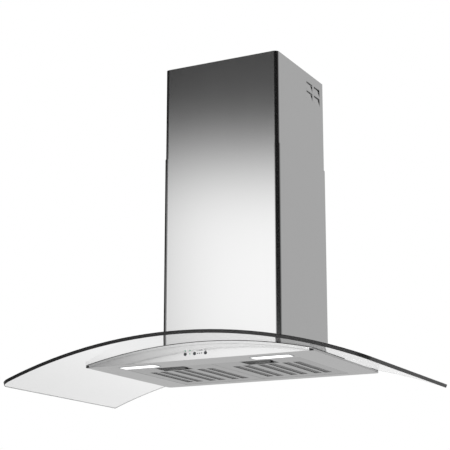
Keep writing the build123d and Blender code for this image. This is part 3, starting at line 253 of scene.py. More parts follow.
@dataclass(frozen=True)
class Diamonds(Finish):
    """Expanded aluminium: strands that cross in flat diamonds, with painted shade in the gaps between
    them.
    """

    lean: float = 32.0
    gap: float = 0.55
    strand: float = 0.95

    def pattern(self, tree: Tree, coords: Node, size: Triple) -> Socket:
        """Two sets of leaning strands, size[0] mm apart.

        Args:
            tree: the material's tree.
            coords: its texture coordinates.
            size: the pitch of the strands, in mm, in its first number.

        Returns:
            1 on a strand and 0 in a gap.
        """
        scale = math.tau / (WAVE_FACTOR * size[0] * MILLIMETRE)
        strands = []
        for lean in (self.lean, -self.lean):
            turned = add(
                tree,
                "ShaderNodeMapping",
                {"Vector": coords.outputs["Object"], "Rotation": (0.0, 0.0, math.radians(lean))},
            )
            bands = add(tree, "ShaderNodeTexWave", {"Vector": turned.outputs[0], "Scale": scale})
            strands.append(bands.outputs["Fac"])
        most = add(tree, "ShaderNodeMath", {0: strands[0], 1: strands[1]}, operation="MAXIMUM")
        # the gaps fall to the darker colour: painted shade where the openings lie
        thin = add(
            tree,
            "ShaderNodeMapRange",
            {"Value": most.outputs[0], "From Min": self.gap, "From Max": self.strand},
        )
        return thin.outputs[0]


@dataclass(frozen=True)
class EdgedGlass(Finish):
    """Clear toughened glass: polished faces, and ground edges with painted shade, near black at the
    front and grey at the sides and rear, plus painted highlights.
    """

    # painted shade and painted highlights on the ground edges, picked by the way each edge faces
    front_edge_shade: str = "1C1D1E"
    bevel_line_highlight: str = "444546"
    side_edge_shade: str = "3A3C3E"
    corner_highlight: str = "85878A"
    index: float = 1.52
    graze: Span = (0.17, 0.28)
    through: float = 0.85
    passing: str = "FAFAFA"
    edge_tilt: float = 0.75
    front_turn: float = -0.5
    corner_turn: float = -0.22
    thickness: float = 8.0
    line_radius: float = 1234.0
    line_width: float = 1.6

    def make(self) -> Material:
        """Finds the ground edges by the way that they face, and tints them with painted shade and
        painted highlights.

        Returns:
            The finished material.
        """
        material, tree, shader, coords = self.start()
        shader.inputs["Transmission Weight"].default_value = 1.0
        shader.inputs["IOR"].default_value = self.index
        facing = add(tree, "ShaderNodeSeparateXYZ", {0: coords.outputs["Normal"]})
        steep = add(tree, "ShaderNodeMath", {0: facing.outputs[2], 1: 0.0}, operation="ABSOLUTE")
        edge = add(
            tree, "ShaderNodeMath", {0: steep.outputs[0], 1: self.edge_tilt}, operation="LESS_THAN"
        )
        painted_edge_tones = self.edges(tree, coords, facing)
        cloud = self.pattern(tree, coords, self.grain)
        clear = add(
            tree,
            "ShaderNodeMix",
            {0: cloud, 6: linear(self.dark), 7: linear(self.light)},
            data_type="RGBA",
        )
        # the edge faces take their painted shade and highlights in place of the clear tint
        tint = add(
            tree,
            "ShaderNodeMix",
            {0: edge.outputs[0], 6: clear.outputs[2], 7: painted_edge_tones},
            data_type="RGBA",
        )
        tree.links.new(tint.outputs[2], shader.inputs["Base Color"])
        gloss = add(
            tree,
            "ShaderNodeMapRange",
            {"Value": edge.outputs[0], "To Min": 0.0, "To Max": self.roughness},
        )
        tree.links.new(gloss.outputs[0], shader.inputs["Roughness"])
        self.calm(tree, shader, edge.outputs[0])
        return material

    def edges(self, tree: Tree, coords: Node, facing: Node) -> Socket:
        """Paints light and shade into the ground edges' colour: painted shade on the front and the
        sides, and painted highlights on a line along the front and on the right corner.

        Args:
            tree: the material's tree.
            coords: its texture coordinates.
            facing: the parts of the surface's normal.

        Returns:
            The edges' colour, with its painted shade and highlights.
        """
        front = add(
            tree, "ShaderNodeMath", {0: facing.outputs[1], 1: self.front_turn}, operation="LESS_THAN"
        )
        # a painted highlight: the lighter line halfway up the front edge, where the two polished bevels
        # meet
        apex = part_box("glass_canopy")[1][2]
        middle = self.line_radius * MILLIMETRE
        centre = apex - middle - self.thickness / 2 * MILLIMETRE
        spot = add(tree, "ShaderNodeSeparateXYZ", {0: coords.outputs["Object"]})
        height = add(tree, "ShaderNodeMath", {0: spot.outputs[2], 1: centre}, operation="SUBTRACT")
        flat = add(tree, "ShaderNodeCombineXYZ", {0: spot.outputs[0], 1: height.outputs[0]})
        reach = add(tree, "ShaderNodeVectorMath", {0: flat.outputs[0]}, operation="LENGTH")
        line = add(
            tree,
            "ShaderNodeMath",
            {0: reach.outputs["Value"], 1: middle, 2: self.line_width / 2 * MILLIMETRE},
            operation="COMPARE",
        )
        rim = add(
            tree,
            "ShaderNodeMix",
            {0: line.outputs[0], 6: linear(self.front_edge_shade), 7: linear(self.bevel_line_highlight)},
            data_type="RGBA",
        )
        # painted shade: the front edge is made darker than the side and rear edges
        straight = add(
            tree,
            "ShaderNodeMix",
            {0: front.outputs[0], 6: linear(self.side_edge_shade), 7: rim.outputs[2]},
            data_type="RGBA",
        )
        # a painted highlight on the rounded front corner on the right, where it catches the light
        turned = add(
            tree, "ShaderNodeMath", {0: facing.outputs[0], 1: facing.outputs[1]}, operation="MULTIPLY"
        )
        corner = add(
            tree, "ShaderNodeMath", {0: turned.outputs[0], 1: self.corner_turn}, operation="LESS_THAN"
        )
        painted_edge_tones = add(
            tree,
            "ShaderNodeMix",
            {0: corner.outputs[0], 6: straight.outputs[2], 7: linear(self.corner_highlight)},
            data_type="RGBA",
        )
        return painted_edge_tones.outputs[2]

    def calm(self, tree: Tree, shader: Node, edge: Socket) -> None:
        """Takes most of the mirror image off the faces where they are seen at a grazing angle.

        Args:
            tree: the material's tree.
            shader: its Principled shader.
            edge: 1 on the ground edges.
        """
        mirror = add(tree, "ShaderNodeFresnel", {"IOR": self.index})
        low, high = self.graze
        share = add(
            tree,
            "ShaderNodeMapRange",
            {
                "Value": mirror.outputs[0],
                "From Min": low,
                "From Max": high,
                "To Min": 0.0,
                "To Max": self.through,
            },
        )
        face = add(tree, "ShaderNodeMath", {0: 1.0, 1: edge}, operation="SUBTRACT")
        soft = add(
            tree, "ShaderNodeMath", {0: share.outputs[0], 1: face.outputs[0]}, operation="MULTIPLY"
        )
        bent = add(
            tree,
            "ShaderNodeBsdfRefraction",
            {"Color": linear(self.passing), "Roughness": 0.0, "IOR": self.index},
        )
        sheet = add(
            tree,
            "ShaderNodeMixShader",
            {0: soft.outputs[0], 1: shader.outputs[0], 2: bent.outputs[0]},
        )
        output = next(node for node in tree.nodes if node.type == "OUTPUT_MATERIAL")
        tree.links.new(sheet.outputs[0], output.inputs["Surface"])


@dataclass(frozen=True)
class Lit(Finish):
    """A lit piece: opal cover or small lens, with its own light a little uneven."""

    glow: float = 1.0

    def make(self) -> Material:
        """Adds the piece's own light to its finish.

        Returns:
            The finished material.
        """
        material, tree, shader, coords = self.start()
        self.shade(tree, shader, self.pattern(tree, coords, self.grain))
        tint = shader.inputs["Base Color"].links[0].from_socket
        tree.links.new(tint, shader.inputs["Emission Color"])
        shader.inputs["Emission Strength"].default_value = self.glow
        return material


@dataclass(frozen=True)
class StripGlow(Lit):
    """An opal strip lit from behind, whose light fades towards its two ends."""

    middle: float = 167.5
    even: float = 30.0
    reach: float = 47.0
    end: float = 0.45

    def make(self) -> Material:
        """Fades the light by the distance from the strip's middle.

        Returns:
            The finished material.
        """
        material = super().make()
        tree = material.node_tree
        shader = next(node for node in tree.nodes if node.type == "BSDF_PRINCIPLED")
        coords = add(tree, "ShaderNodeTexCoord", {})
        spot = add(tree, "ShaderNodeSeparateXYZ", {0: coords.outputs["Object"]})
        side = add(tree, "ShaderNodeMath", {0: spot.outputs[0]}, operation="ABSOLUTE")
        off = add(
            tree,
            "ShaderNodeMath",
            {0: side.outputs[0], 1: self.middle * MILLIMETRE},
            operation="SUBTRACT",
        )
        away = add(tree, "ShaderNodeMath", {0: off.outputs[0]}, operation="ABSOLUTE")
        fade = add(
            tree,
            "ShaderNodeMapRange",
            {
                "Value": away.outputs[0],
                "From Min": self.even * MILLIMETRE,
                "From Max": self.reach * MILLIMETRE,
                "To Min": 1.0,
                "To Max": self.end,
            },
        )
        level = fade.outputs[0]
        light = add(tree, "ShaderNodeCombineXYZ", {0: level, 1: level, 2: level})
        tree.links.new(light.outputs[0], shader.inputs["Emission Color"])
        return material


# Brushed stainless steel sheet. A real streak is about 0.05 mm wide, too fine to show, so it
# is drawn 1.6 mm wide and faint: the eye gets a soft mirror with a hint of straight grain.
STEEL = {"roughness": 0.11, "spread": 0.015, "relief": 0.003, "metallic": 1.0}
BODY_STEEL = BrushedSteel("stainless_body", "D7D7D7", "D1D1D1", grain=Brushing.ACROSS.value, **STEEL)
CHIMNEY_STEEL = BrushedSteel(
    "stainless_chimney", "D7D7D7", "D1D1D1", grain=Brushing.UPRIGHT.value, **STEEL
)
# The filters' thinner sheet is brushed front to back and looks a touch duller.
FILTER_STEEL = BrushedSteel(
    "stainless_filter", "D2D2D2", "CACACA", 0.24, 0.03, Brushing.DEEP.value, 0.005, metallic=1.0
)
# Expanded aluminium of about 3 mm pitch, drawn at 6 mm so that the diamonds still show: a dull grey
# lattice, with painted shade in its gaps.
MESH_METAL = Diamonds(
    "expanded_aluminium", "C8C8C8", "929292", 0.45, 0.08, (6.0, 6.0, 6.0), 0.1, metallic=1.0
)
# Galvanised sheet: crystals of 8 to 12 mm, each a slightly different matt grey.
GALVANISED = Spangled(
    "galvanised_sheet", "B9BEC0", "A1A7AA", 0.42, 0.08, (10.0, 10.0, 10.0), 0.01, metallic=1.0
)
# Bright zinc plate on screws and pins: bluish silver, with a faint cloud.
ZINC = Finish("zinc_plated_steel", "C9CDD2", "AFB4BA", 0.30, 0.06, (4.0, 4.0, 4.0), 0.01, metallic=1.0)
# Satin anodised aluminium of the lamps' frames: even and pale.
LAMP_METAL = Finish(
    "anodised_aluminium", "D2D4D6", "C6C8CA", 0.32, 0.04, (3.0, 3.0, 3.0), 0.004, metallic=1.0
)
# Moulded EPDM rubber, near black or mid grey: dull, with a fine bloom.
BLACK_RUBBER = Finish("black_epdm", "232324", "161617", 0.62, 0.08, (2.5, 2.5, 2.5), 0.02)
GREY_RUBBER = Finish("grey_epdm", "6E7072", "606264", 0.60, 0.07, (2.5, 2.5, 2.5), 0.02)
# Natural polyamide washers: milky and waxy.
NYLON = Finish("natural_nylon", "E7E4DA", "DAD6CA", 0.42, 0.05, (2.0, 2.0, 2.0), 0.01)
# Moulded ABS: a fine spark-eroded grain breaks its shine.
BLACK_ABS = Finish("black_abs", "2B2C2E", "202123", 0.42, 0.06, (1.2, 1.2, 1.2), 0.02)
WHITE_ABS = Finish("white_abs", "E4E4E1", "D8D8D4", 0.40, 0.06, (1.2, 1.2, 1.2), 0.02)
# Polyester powder on the motor's steel can: an orange-peel skin.
MOTOR_COAT = Finish("powder_coated_can", "3C3F43", "303337", 0.48, 0.06, (1.5, 1.5, 1.5), 0.05)
# Vacuum-metallised buttons: dark chrome with soft edges.
BUTTON_METAL = Finish(
    "dark_chrome", "5E6063", "525457", 0.20, 0.03, (2.0, 2.0, 2.0), 0.004, metallic=1.0
)
# Opal acrylic over the lamps' diodes: a white glow, even in the middle and weaker at both ends.
OPAL = StripGlow("opal_acrylic", "FFFFFF", "F6F7F8", 0.35, 0.03, (11.0, 30.0, 30.0), 0.0, glow=1.2)
# Green lenses, lit: small glossy dots with a weak glow of their own.
GREEN_LENS = Lit("green_lens", "2E9C70", "248A60", 0.22, 0.04, (1.0, 1.0, 1.0), 0.0, glow=0.35)
# Smoked lenses, unlit: glossy dark dots.
SMOKED_LENS = Finish("smoked_lens", "4A4D50", "3A3D40", 0.18, 0.04, (1.0, 1.0, 1.0), 0.0)
# Pad-printed ink: dark grey, matt beside the steel's shine.
PRINT = Finish("printed_ink", "45484B", "3A3D40", 0.50, 0.05, (1.0, 1.0, 1.0), 0.0)
# Float glass: clear, with the faintest grey over a hand's width.
GLASS = EdgedGlass("toughened_glass", "E5E5E5", "E0E0E0", 0.18, 0.0, (220.0, 220.0, 220.0), 0.0)


def dress(finish: Finish, *nodes: str) -> None:
    """Gives CAD nodes a finish.

    Args:
        finish: the finish to make.
        nodes: the nodes' names.
    """
    material = finish.make()
    for name in nodes:
        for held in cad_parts[name].material_slots:
            held.material = material
        LOG.info("%s: %s", name, finish.name)


def both(*names: str) -> list[str]:
    """The left and the right node of each of these names."""
    return [f"{side}_{name}" for name in names for side in ("left", "right")]


def place(name: str, mesh: bmesh.types.BMesh, finish: Finish, body: str) -> None:
    """Turns a bmesh into a piece that rides on a body.

    Args:
        name: the piece's name.
        mesh: its shape, already where it belongs, in metres.
        finish: its finish.
        body: the CAD body that it moves with.
    """
    bmesh.ops.recalc_face_normals(mesh, faces=mesh.faces)
    data = bpy.data.meshes.new(name)
    mesh.to_mesh(data)
    mesh.free()
    data.materials.append(finish.make())
    piece = bpy.data.objects.new(name, data)
    bpy.context.scene.collection.objects.link(piece)
    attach(piece, body)
    LOG.info("%s: built, %d faces", name, len(data.polygons))


@dataclass
class GlassCanopy:
    """The bent sheet of glass, its gasket, pads and clamping screws."""

    glass: Finish = GLASS
    seal: Finish = BLACK_RUBBER

    def dress(self) -> None:
        """Gives the sheet and what holds it their finishes."""
        dress(self.glass, "glass_canopy")
        dress(self.seal, "glass_gasket", "glass_spacers")
        dress(GREY_RUBBER, "rear_glass_pads")
        dress(NYLON, "glass_washers")
        dress(ZINC, "glass_screws")


@dataclass
class SteelBody:
    """The shallow steel body: arched carrier, pan and fascia, with its black corner caps."""

    sheet: Finish = BODY_STEEL

    def dress(self) -> None:
        """Gives the folded sheets and the caps their finishes."""
        dress(self.sheet, "top_plate", "bottom_pan", "front_fascia")
        dress(BLACK_ABS, "corner_caps")


@dataclass
class ControlPanel:
    """The fascia's buttons and indicator lenses, with small printed marks above them."""

    fascia: float = 390.0
    ink: float = 0.06
    bar: Span = (0.8, 2.4)
    bar_places: Triple = (7.5, 12.5, 17.5)
    mark_height: float = 19.6
    ring_place: float = 27.0
    ring_radius: float = 2.0
    ring_hole: float = 0.6
    ring_sides: int = 24

    def speed_marks(self) -> None:
        """Prints one, two and three short bars above the three speed lenses."""
        mesh = bmesh.new()
        width, height = self.bar
        size = Matrix.Diagonal(Vector((width, self.ink, height)) * MILLIMETRE).to_4x4()
        for count, middle in enumerate(self.bar_places, start=1):
            for number in range(count):
                x = middle + (number - (count - 1) / 2) * width * 2
                at = Vector((x, -self.fascia - self.ink / 2, self.mark_height)) * MILLIMETRE
                at.z += UNDERSIDE
                bmesh.ops.create_cube(mesh, size=1.0, matrix=Matrix.Translation(at) @ size)
        place("speed_marks", mesh, PRINT, "hood")

    def light_mark(self) -> None:
        """Prints a small ring above the lamps' button."""
        mesh = bmesh.new()
        at = Vector((self.ring_place, -self.fascia, self.mark_height)) * MILLIMETRE
        at.z += UNDERSIDE
        made = bmesh.ops.create_circle(
            mesh,
            segments=self.ring_sides,
            radius=self.ring_radius * MILLIMETRE,
            matrix=Matrix.Translation(at) @ Matrix.Rotation(math.radians(90), 4, "X"),
        )
        rim = list({edge for vertex in made["verts"] for edge in vertex.link_edges})
        inner = bmesh.ops.extrude_edge_only(mesh, edges=rim)["geom"]
        verts = [item for item in inner if isinstance(item, bmesh.types.BMVert)]
        hole = (self.ring_hole, 1.0, self.ring_hole)
        bmesh.ops.scale(mesh, verts=verts, vec=hole, space=Matrix.Translation(-at))
        bmesh.ops.solidify(mesh, geom=mesh.faces[:], thickness=self.ink * MILLIMETRE)
        place("light_mark", mesh, PRINT, "hood")

    def dress(self) -> None:
        """Gives the buttons, lenses and switch block their finishes."""
        dress(BUTTON_METAL, "left_button", "middle_button", "right_button")
        dress(GREEN_LENS, "green_leds")
        dress(SMOKED_LENS, "speed_leds")
        dress(BLACK_ABS, "switch_block")


@dataclass
class StripLamps:
    """The two strip lamps in the front of the pan."""

    cover: Finish = OPAL

    def dress(self) -> None:
        """Gives the covers, frames and diode boards their finishes."""
        dress(self.cover, *both("lamp_diffuser"))
        dress(LAMP_METAL, *both("lamp_housing"))
        dress(WHITE_ABS, *both("led_board"))


@dataclass
class GreaseFilters:
    """The two filter cassettes, their expanded mesh and their latches."""

    face: Finish = FILTER_STEEL

    def dress(self) -> None:
        """Gives the cassettes, meshes and latches their finishes."""
        dress(self.face, *both("filter_face", "filter_back", "latch"))
        dress(MESH_METAL, *both("filter_mesh"))


@dataclass
class Chimney:
    """The two telescopic covers and what holds them, with a folded lip behind each row of louvres."""

    sheet: Finish = CHIMNEY_STEEL
    wall: float = 1.0
    lip_drops: Span = (22.75, 46.25)
    lip_depths: Span = (10.0, 106.0)
    lip_flange: float = 3.2
    lip_shelf: float = 1.0
    lip_reach: float = 3.6
    lip_hang: float = 7.0

    def rain_lips(self) -> None:
        """Folds the lips that keep rain and the view out of the louvres, on both sides."""
        low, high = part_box("upper_chimney_cover")
        thick, reach, shelf = self.wall, self.lip_reach, self.lip_shelf
        outline = [
            (0.0, self.lip_flange),
            (0.0, shelf),
            (reach, shelf),
            (reach, -self.lip_hang),
            (reach + thick, -self.lip_hang),
            (reach + thick, shelf + thick),
            (thick, shelf + thick),
            (thick, self.lip_flange),
        ]
        near, far = self.lip_depths
        mesh = bmesh.new()
        for face, inward in ((high[0], -1), (low[0], 1)):
            for drop in self.lip_drops:
                corners = []
                for across, up in outline:
                    x = face + inward * (self.wall + across) * MILLIMETRE
                    z = high[2] + (up - drop) * MILLIMETRE
                    corners.append(mesh.verts.new((x, -near * MILLIMETRE, z)))
                end = mesh.faces.new(corners)
                made = bmesh.ops.extrude_face_region(mesh, geom=[end], use_keep_orig=True)["geom"]
                moved = [item for item in made if isinstance(item, bmesh.types.BMVert)]
                bmesh.ops.translate(mesh, verts=moved, vec=(0.0, (near - far) * MILLIMETRE, 0.0))
        place("louvre_lips", mesh, self.sheet, "upper_chimney")

    def dress(self) -> None:
        """Gives the covers, seal and brackets their finishes."""
        dress(self.sheet, "lower_chimney_cover", "upper_chimney_cover")
        dress(GREY_RUBBER, "chimney_base_seal")
        dress(GALVANISED, "cover_brackets", "chimney_wall_bracket")
        dress(ZINC, "chimney_bracket_screws")


@dataclass
class Blower:
    """The sheet-metal box with the double-inlet fan, its motor and its supply."""

    box: Finish = GALVANISED

    def dress(self) -> None:
        """Gives the box, the fan and the electrical parts their finishes."""
        dress(self.box, "blower_box", "blower_box_lid", "motor_bracket")
        dress(ZINC, "blower_box_screws", "motor_shaft")
        dress(WHITE_ABS, "fan_wheel", "capacitor", *both("scroll"))
        dress(BLACK_ABS, "cable_gland", "control_box")
        dress(BLACK_RUBBER, "motor_bushes")
        dress(MOTOR_COAT, "motor_body")


@dataclass
class Outlet:
    """The duct spigot and its two non-return flaps."""

    moulding: Finish = BLACK_ABS

    def dress(self) -> None:
        """Gives the spigot, flaps and pin their finishes."""
        dress(self.moulding, "outlet_collar", *both("flap"))
        dress(ZINC, "flap_pin")


@dataclass
class WallFixings:
    """The plate that carries the hood on the wall."""

    sheet: Finish = GALVANISED

    def dress(self) -> None:
        """Gives the wall plate its finish."""
        dress(self.sheet, "wall_plate")


@dataclass
class Studio:
    """Plain soft studio light: an even world, one large lamp and a pale floor far below.

    Its lengths are metres. Its levels are strengths, of which 1 is the white background.
    """

    floor_drop: float = 1.57
    floor_reach: float = 24.0
    floor_colour: str = "F8F8F8"
    floor_lift: float = 0.16
    lamp_power: float = 60.0
    lamp_size: Span = (2.6, 1.8)
    lamp_spot: Triple = (-1.8, -3.2, 2.8)
    lamp_aim: Triple = (0.0, -0.2, 0.0)
    # the level that lights the object, and those that metal mirrors
    plain: float = 0.92
    below: float = 0.54
    behind: float = 0.545
    bright: float = 1.39
    dark_band: float = 0.07
    ceiling: float = 0.6
    dark_flag: float = 0.01
    under_glass: float = 0.62
    # where the mirrored studio changes, by the sine of the height above the horizon
    floor_rise: Span = (-0.05, 0.20)
    flag_rise: Span = (0.09, 0.16)
    band_rise: Span = (0.246, 0.332)
    ceiling_rise: Span = (0.60, 0.80)
    # from the front to the back, by the direction's part along Y
    back_turn: Span = (-0.25, 0.25)
    # and sideways, in degrees from straight ahead, above 0 to the right
    wall_end: Span = (-34.5, -27.5)
    wall_levels: Span = (0.2, 1.04)
    left_flag: tuple[Span, Span] = ((-150.0, -140.0), (-80.0, -55.0))
    right_flag: tuple[Span, Span] = ((-16.0, 16.0), (88.0, 142.0))
    # a ray that passed more glass faces than this came from the steel under the sheet
    sheet_passes: float = 2.5

    def ease(self, tree: Tree, value: Socket, span: Span, first: float, last: float) -> Socket:
        """Eases a level from first to last while value crosses a span.

        Args:
            tree: the world's tree.
            value: what the level follows.
            span: where the change starts and where it ends.
            first: the level before it.
            last: the level after it.

        Returns:
            The level's socket.
        """
        start, end = span
        step = add(
            tree,
            "ShaderNodeMapRange",
            {"Value": value, "From Min": start, "From Max": end, "To Min": first, "To Max": last},
            interpolation_type="SMOOTHSTEP",
        )
        return step.outputs[0]

    def room(self, tree: Tree, rise: Socket, front: Socket, degrees: Socket) -> Socket:
        """The studio's walls, floor and ceiling as metal mirrors them.

        Args:
            tree: the world's tree.
            rise: the sine of the height above the horizon.
            front: the direction's part along Y, below 0 in front of the hood.
            degrees: the angle from straight ahead.

        Returns:
            The room's level.
        """
        # the front wall: bright up to 14 degrees, a dark band from 19 to 37, then a paler ceiling
        band = self.ease(tree, rise, self.band_rise, self.bright, self.dark_band)
        overhead = self.ease(tree, rise, self.ceiling_rise, 0.0, 1.0)
        height = add(
            tree, "ShaderNodeMix", {0: overhead, 2: band, 3: self.ceiling}, data_type="FLOAT"
        )
        # its left part falls off
        left = self.ease(tree, degrees, self.wall_end, *self.wall_levels)
        wall = add(tree, "ShaderNodeMath", {0: height.outputs[0], 1: left}, operation="MULTIPLY")
        rear = self.ease(tree, front, self.back_turn, 0.0, 1.0)
        around = add(
            tree, "ShaderNodeMix", {0: rear, 2: wall.outputs[0], 3: self.behind}, data_type="FLOAT"
        )
        low = self.ease(tree, rise, self.floor_rise, 1.0, 0.0)
        whole = add(
            tree, "ShaderNodeMix", {0: low, 2: around.outputs[0], 3: self.below}, data_type="FLOAT"
        )
        return whole.outputs[0]

    def flags(self, tree: Tree, rise: Socket, degrees: Socket) -> Socket:
        """Two dark flags above eye level, which draw the chimney's rounded corners.

        Args:
            tree: the world's tree.
            rise: the sine of the height above the horizon.
            degrees: the angle from straight ahead.

        Returns:
            1 where a flag hangs.
        """
        sides = []
        for enter, leave in (self.right_flag, self.left_flag):
            come = self.ease(tree, degrees, enter, 0.0, 1.0)
            go = self.ease(tree, degrees, leave, 1.0, 0.0)
            side = add(tree, "ShaderNodeMath", {0: come, 1: go}, operation="MULTIPLY")
            sides.append(side.outputs[0])
        either = add(tree, "ShaderNodeMath", {0: sides[0], 1: sides[1]}, operation="MAXIMUM")
        raised = self.ease(tree, rise, self.flag_rise, 0.0, 1.0)
        flag = add(tree, "ShaderNodeMath", {0: either.outputs[0], 1: raised}, operation="MULTIPLY")
        return flag.outputs[0]

    def rays(self, tree: Tree, ray: Node) -> tuple[Socket, Socket]:
        """Tells what metal mirrors from what clear glass shows.

        Args:
            tree: the tree that asks.
            ray: its Light Path node.

        Returns:
            1 for a ray that metal has mirrored, also where it then passes glass, and 1 for one
            that only clear glass has let through or bounced.
        """
        turned = add(
            tree, "ShaderNodeMath", {0: ray.outputs["Glossy Depth"], 1: 0.5}, operation="GREATER_THAN"
        )
        through = ray.outputs["Is Transmission Ray"]
        later = add(tree, "ShaderNodeMath", {0: through, 1: turned.outputs[0]}, operation="MULTIPLY")
        mirrored = add(
            tree,
            "ShaderNodeMath",
            {0: ray.outputs["Is Glossy Ray"], 1: later.outputs[0]},
            operation="MAXIMUM",
        )
        straight = add(tree, "ShaderNodeMath", {0: through, 1: later.outputs[0]}, operation="SUBTRACT")
        outside = add(tree, "ShaderNodeMath", {0: 1.0, 1: through}, operation="SUBTRACT")
        sharp = add(
            tree,
            "ShaderNodeMath",
            {0: ray.outputs["Is Singular Ray"], 1: outside.outputs[0]},
            operation="MULTIPLY",
        )
        clear = add(
            tree, "ShaderNodeMath", {0: straight.outputs[0], 1: sharp.outputs[0]}, operation="MAXIMUM"
        )
        return mirrored.outputs[0], clear.outputs[0]

    def world(self) -> None:
        """Lights the object evenly, and gives metal a room with two dark flags to mirror."""
        world = bpy.data.worlds.new("studio")
        bpy.context.scene.world = world
        world.use_nodes = True
        tree = world.node_tree
        tree.nodes.clear()
        way = add(tree, "ShaderNodeTexCoord", {})
        part = add(tree, "ShaderNodeSeparateXYZ", {0: way.outputs["Generated"]})
        rise, front = part.outputs[2], part.outputs[1]
        ahead = add(tree, "ShaderNodeMath", {0: front, 1: -1.0}, operation="MULTIPLY")
        turn = add(
            tree, "ShaderNodeMath", {0: part.outputs[0], 1: ahead.outputs[0]}, operation="ARCTAN2"
        )
        degrees = add(
            tree, "ShaderNodeMath", {0: turn.outputs[0], 1: 180 / math.pi}, operation="MULTIPLY"
        )
        room = self.room(tree, rise, front, degrees.outputs[0])
        flag = self.flags(tree, rise, degrees.outputs[0])
        seen = add(tree, "ShaderNodeMix", {0: flag, 2: room, 3: self.dark_flag}, data_type="FLOAT")
        ray = add(tree, "ShaderNodeLightPath", {})
        mirrored, clear = self.rays(tree, ray)
        # steel that lies under the glass, seen from above, mirrors a plain pale ceiling
        deep = add(
            tree,
            "ShaderNodeMath",
            {0: ray.outputs["Transmission Depth"], 1: self.sheet_passes},
            operation="GREATER_THAN",
        )
        lid = add(
            tree,
            "ShaderNodeMix",
            {0: deep.outputs[0], 2: seen.outputs[0], 3: self.under_glass},
            data_type="FLOAT",
        )
        metal = add(
            tree, "ShaderNodeMix", {0: mirrored, 2: self.plain, 3: lid.outputs[0]}, data_type="FLOAT"
        )
        # the camera and clear glass see a white background
        white = add(
            tree, "ShaderNodeMath", {0: ray.outputs["Is Camera Ray"], 1: clear}, operation="MAXIMUM"
        )
        level = add(
            tree, "ShaderNodeMix", {0: white.outputs[0], 2: metal.outputs[0], 3: 1.0}, data_type="FLOAT"
        )
        sky = add(
            tree, "ShaderNodeBackground", {"Color": (1.0, 1.0, 1.0, 1.0), "Strength": level.outputs[0]}
        )
        add(tree, "ShaderNodeOutputWorld", {"Surface": sky.outputs[0]})

    def floor_paint(self) -> Material:
        """Paints the floor: matt and pale, a plain level in metal, and white through clear glass.

        Returns:
            The floor's material.
        """
        material = bpy.data.materials.new("pale_floor")
        material.use_nodes = True
        tree = material.node_tree
        tree.nodes.clear()
        matt = add(tree, "ShaderNodeBsdfDiffuse", {"Color": linear(self.floor_colour)})
        lift = add(tree, "ShaderNodeEmission", {"Strength": self.floor_lift})
        shown = add(tree, "ShaderNodeAddShader", {0: matt.outputs[0], 1: lift.outputs[0]})
        sheen = add(tree, "ShaderNodeEmission", {"Strength": self.below})
        white = add(tree, "ShaderNodeEmission", {"Strength": 1.0})
        mirrored, clear = self.rays(tree, add(tree, "ShaderNodeLightPath", {}))
        metal = add(tree, "ShaderNodeMixShader", {0: mirrored, 1: shown.outputs[0], 2: sheen.outputs[0]})
        above = add(tree, "ShaderNodeMixShader", {0: clear, 1: metal.outputs[0], 2: white.outputs[0]})
        # seen from underneath, the floor lets the view through to the hood
        under = add(tree, "ShaderNodeNewGeometry", {})
        open_below = add(tree, "ShaderNodeBsdfTransparent", {})
        shell = add(
            tree,
            "ShaderNodeMixShader",
            {0: under.outputs["Backfacing"], 1: above.outputs[0], 2: open_below.outputs[0]},
        )
        add(tree, "ShaderNodeOutputMaterial", {"Surface": shell.outputs[0]})
        return material

    def floor(self) -> None:
        """Lays a plain pale floor where a cook would stand, which keeps the hood's soft shadow."""
        mesh = bmesh.new()
        low = Matrix.Translation((0.0, 0.0, UNDERSIDE - self.floor_drop))
        bmesh.ops.create_grid(mesh, x_segments=1, y_segments=1, size=self.floor_reach, matrix=low)
        data = bpy.data.meshes.new("floor")
        mesh.to_mesh(data)
        mesh.free()
        data.materials.append(self.floor_paint())
        ground = bpy.data.objects.new("floor", data)
        bpy.context.scene.collection.objects.link(ground)

    def lamp(self) -> None:
        """Hangs one large soft lamp in front, high and to the left."""
        light = bpy.data.lights.new("softbox", "AREA")
        light.shape = "RECTANGLE"
        light.size, light.size_y = self.lamp_size
        light.energy = self.lamp_power
        holder = bpy.data.objects.new("softbox", light)
        holder.location = self.lamp_spot
        aim = Vector(self.lamp_aim) - holder.location
        holder.rotation_euler = aim.to_track_quat("-Z", "Y").to_euler()
        holder.visible_glossy = False
        holder.visible_transmission = False
        bpy.context.scene.collection.objects.link(holder)

    def build(self) -> None:
        """Makes the world, the floor and the lamp."""
        self.world()
        self.floor()
        self.lamp()
        LOG.info("studio: world, floor and softbox")


@dataclass
class PhotoCamera:
    """The camera at the photograph's viewing angle: low in front, to the right, looking up.

    Its spot is measured from the middle of the underside's edge at the wall.
    """

    spot: Triple = (1456.5, -3056.2, -462.5)
    yaw: float = 27.38
    pitch: float = 14.21
    lens: float = 110.6
    sensor: float = 36.0
    farthest: float = 100_000.0

    def build(self) -> None:
        """Makes the camera and gives it to the scene."""
        data = bpy.data.cameras.new("photo_camera")
        data.sensor_width = self.sensor
        data.lens = self.lens
        data.clip_end = self.farthest * MILLIMETRE
        camera = bpy.data.objects.new("photo_camera", data)
        camera.location = Vector(self.spot) * MILLIMETRE + Vector((0.0, 0.0, UNDERSIDE))
        camera.rotation_euler = (math.radians(90 + self.pitch), 0.0, math.radians(self.yaw))
        bpy.context.scene.collection.objects.link(camera)
        bpy.context.scene.camera = camera
        LOG.info("camera: lens %.1f mm", self.lens)


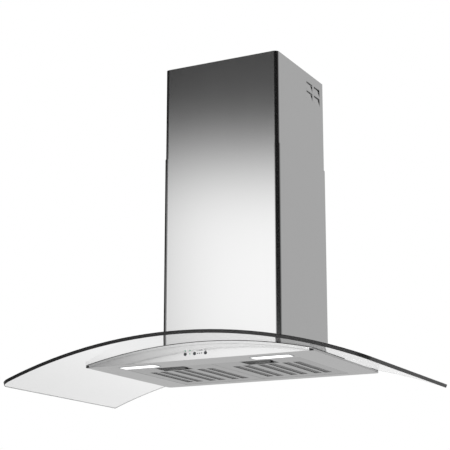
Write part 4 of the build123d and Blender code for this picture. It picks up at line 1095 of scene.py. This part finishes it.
def main() -> None:
    """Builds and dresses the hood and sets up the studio."""
    logging.basicConfig(level=logging.INFO, format="%(name)s: %(message)s")
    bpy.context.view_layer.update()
    scene = bpy.context.scene
    scene.view_settings.view_transform = "Standard"
    PhotoCamera().build()
    Studio().build()
    GlassCanopy().dress()
    SteelBody().dress()
    panel = ControlPanel()
    panel.speed_marks()
    panel.light_mark()
    panel.dress()
    StripLamps().dress()
    GreaseFilters().dress()
    chimney = Chimney()
    chimney.rain_lips()
    chimney.dress()
    Blower().dress()
    Outlet().dress()
    WallFixings().dress()


if __name__ == "__main__":
    main()
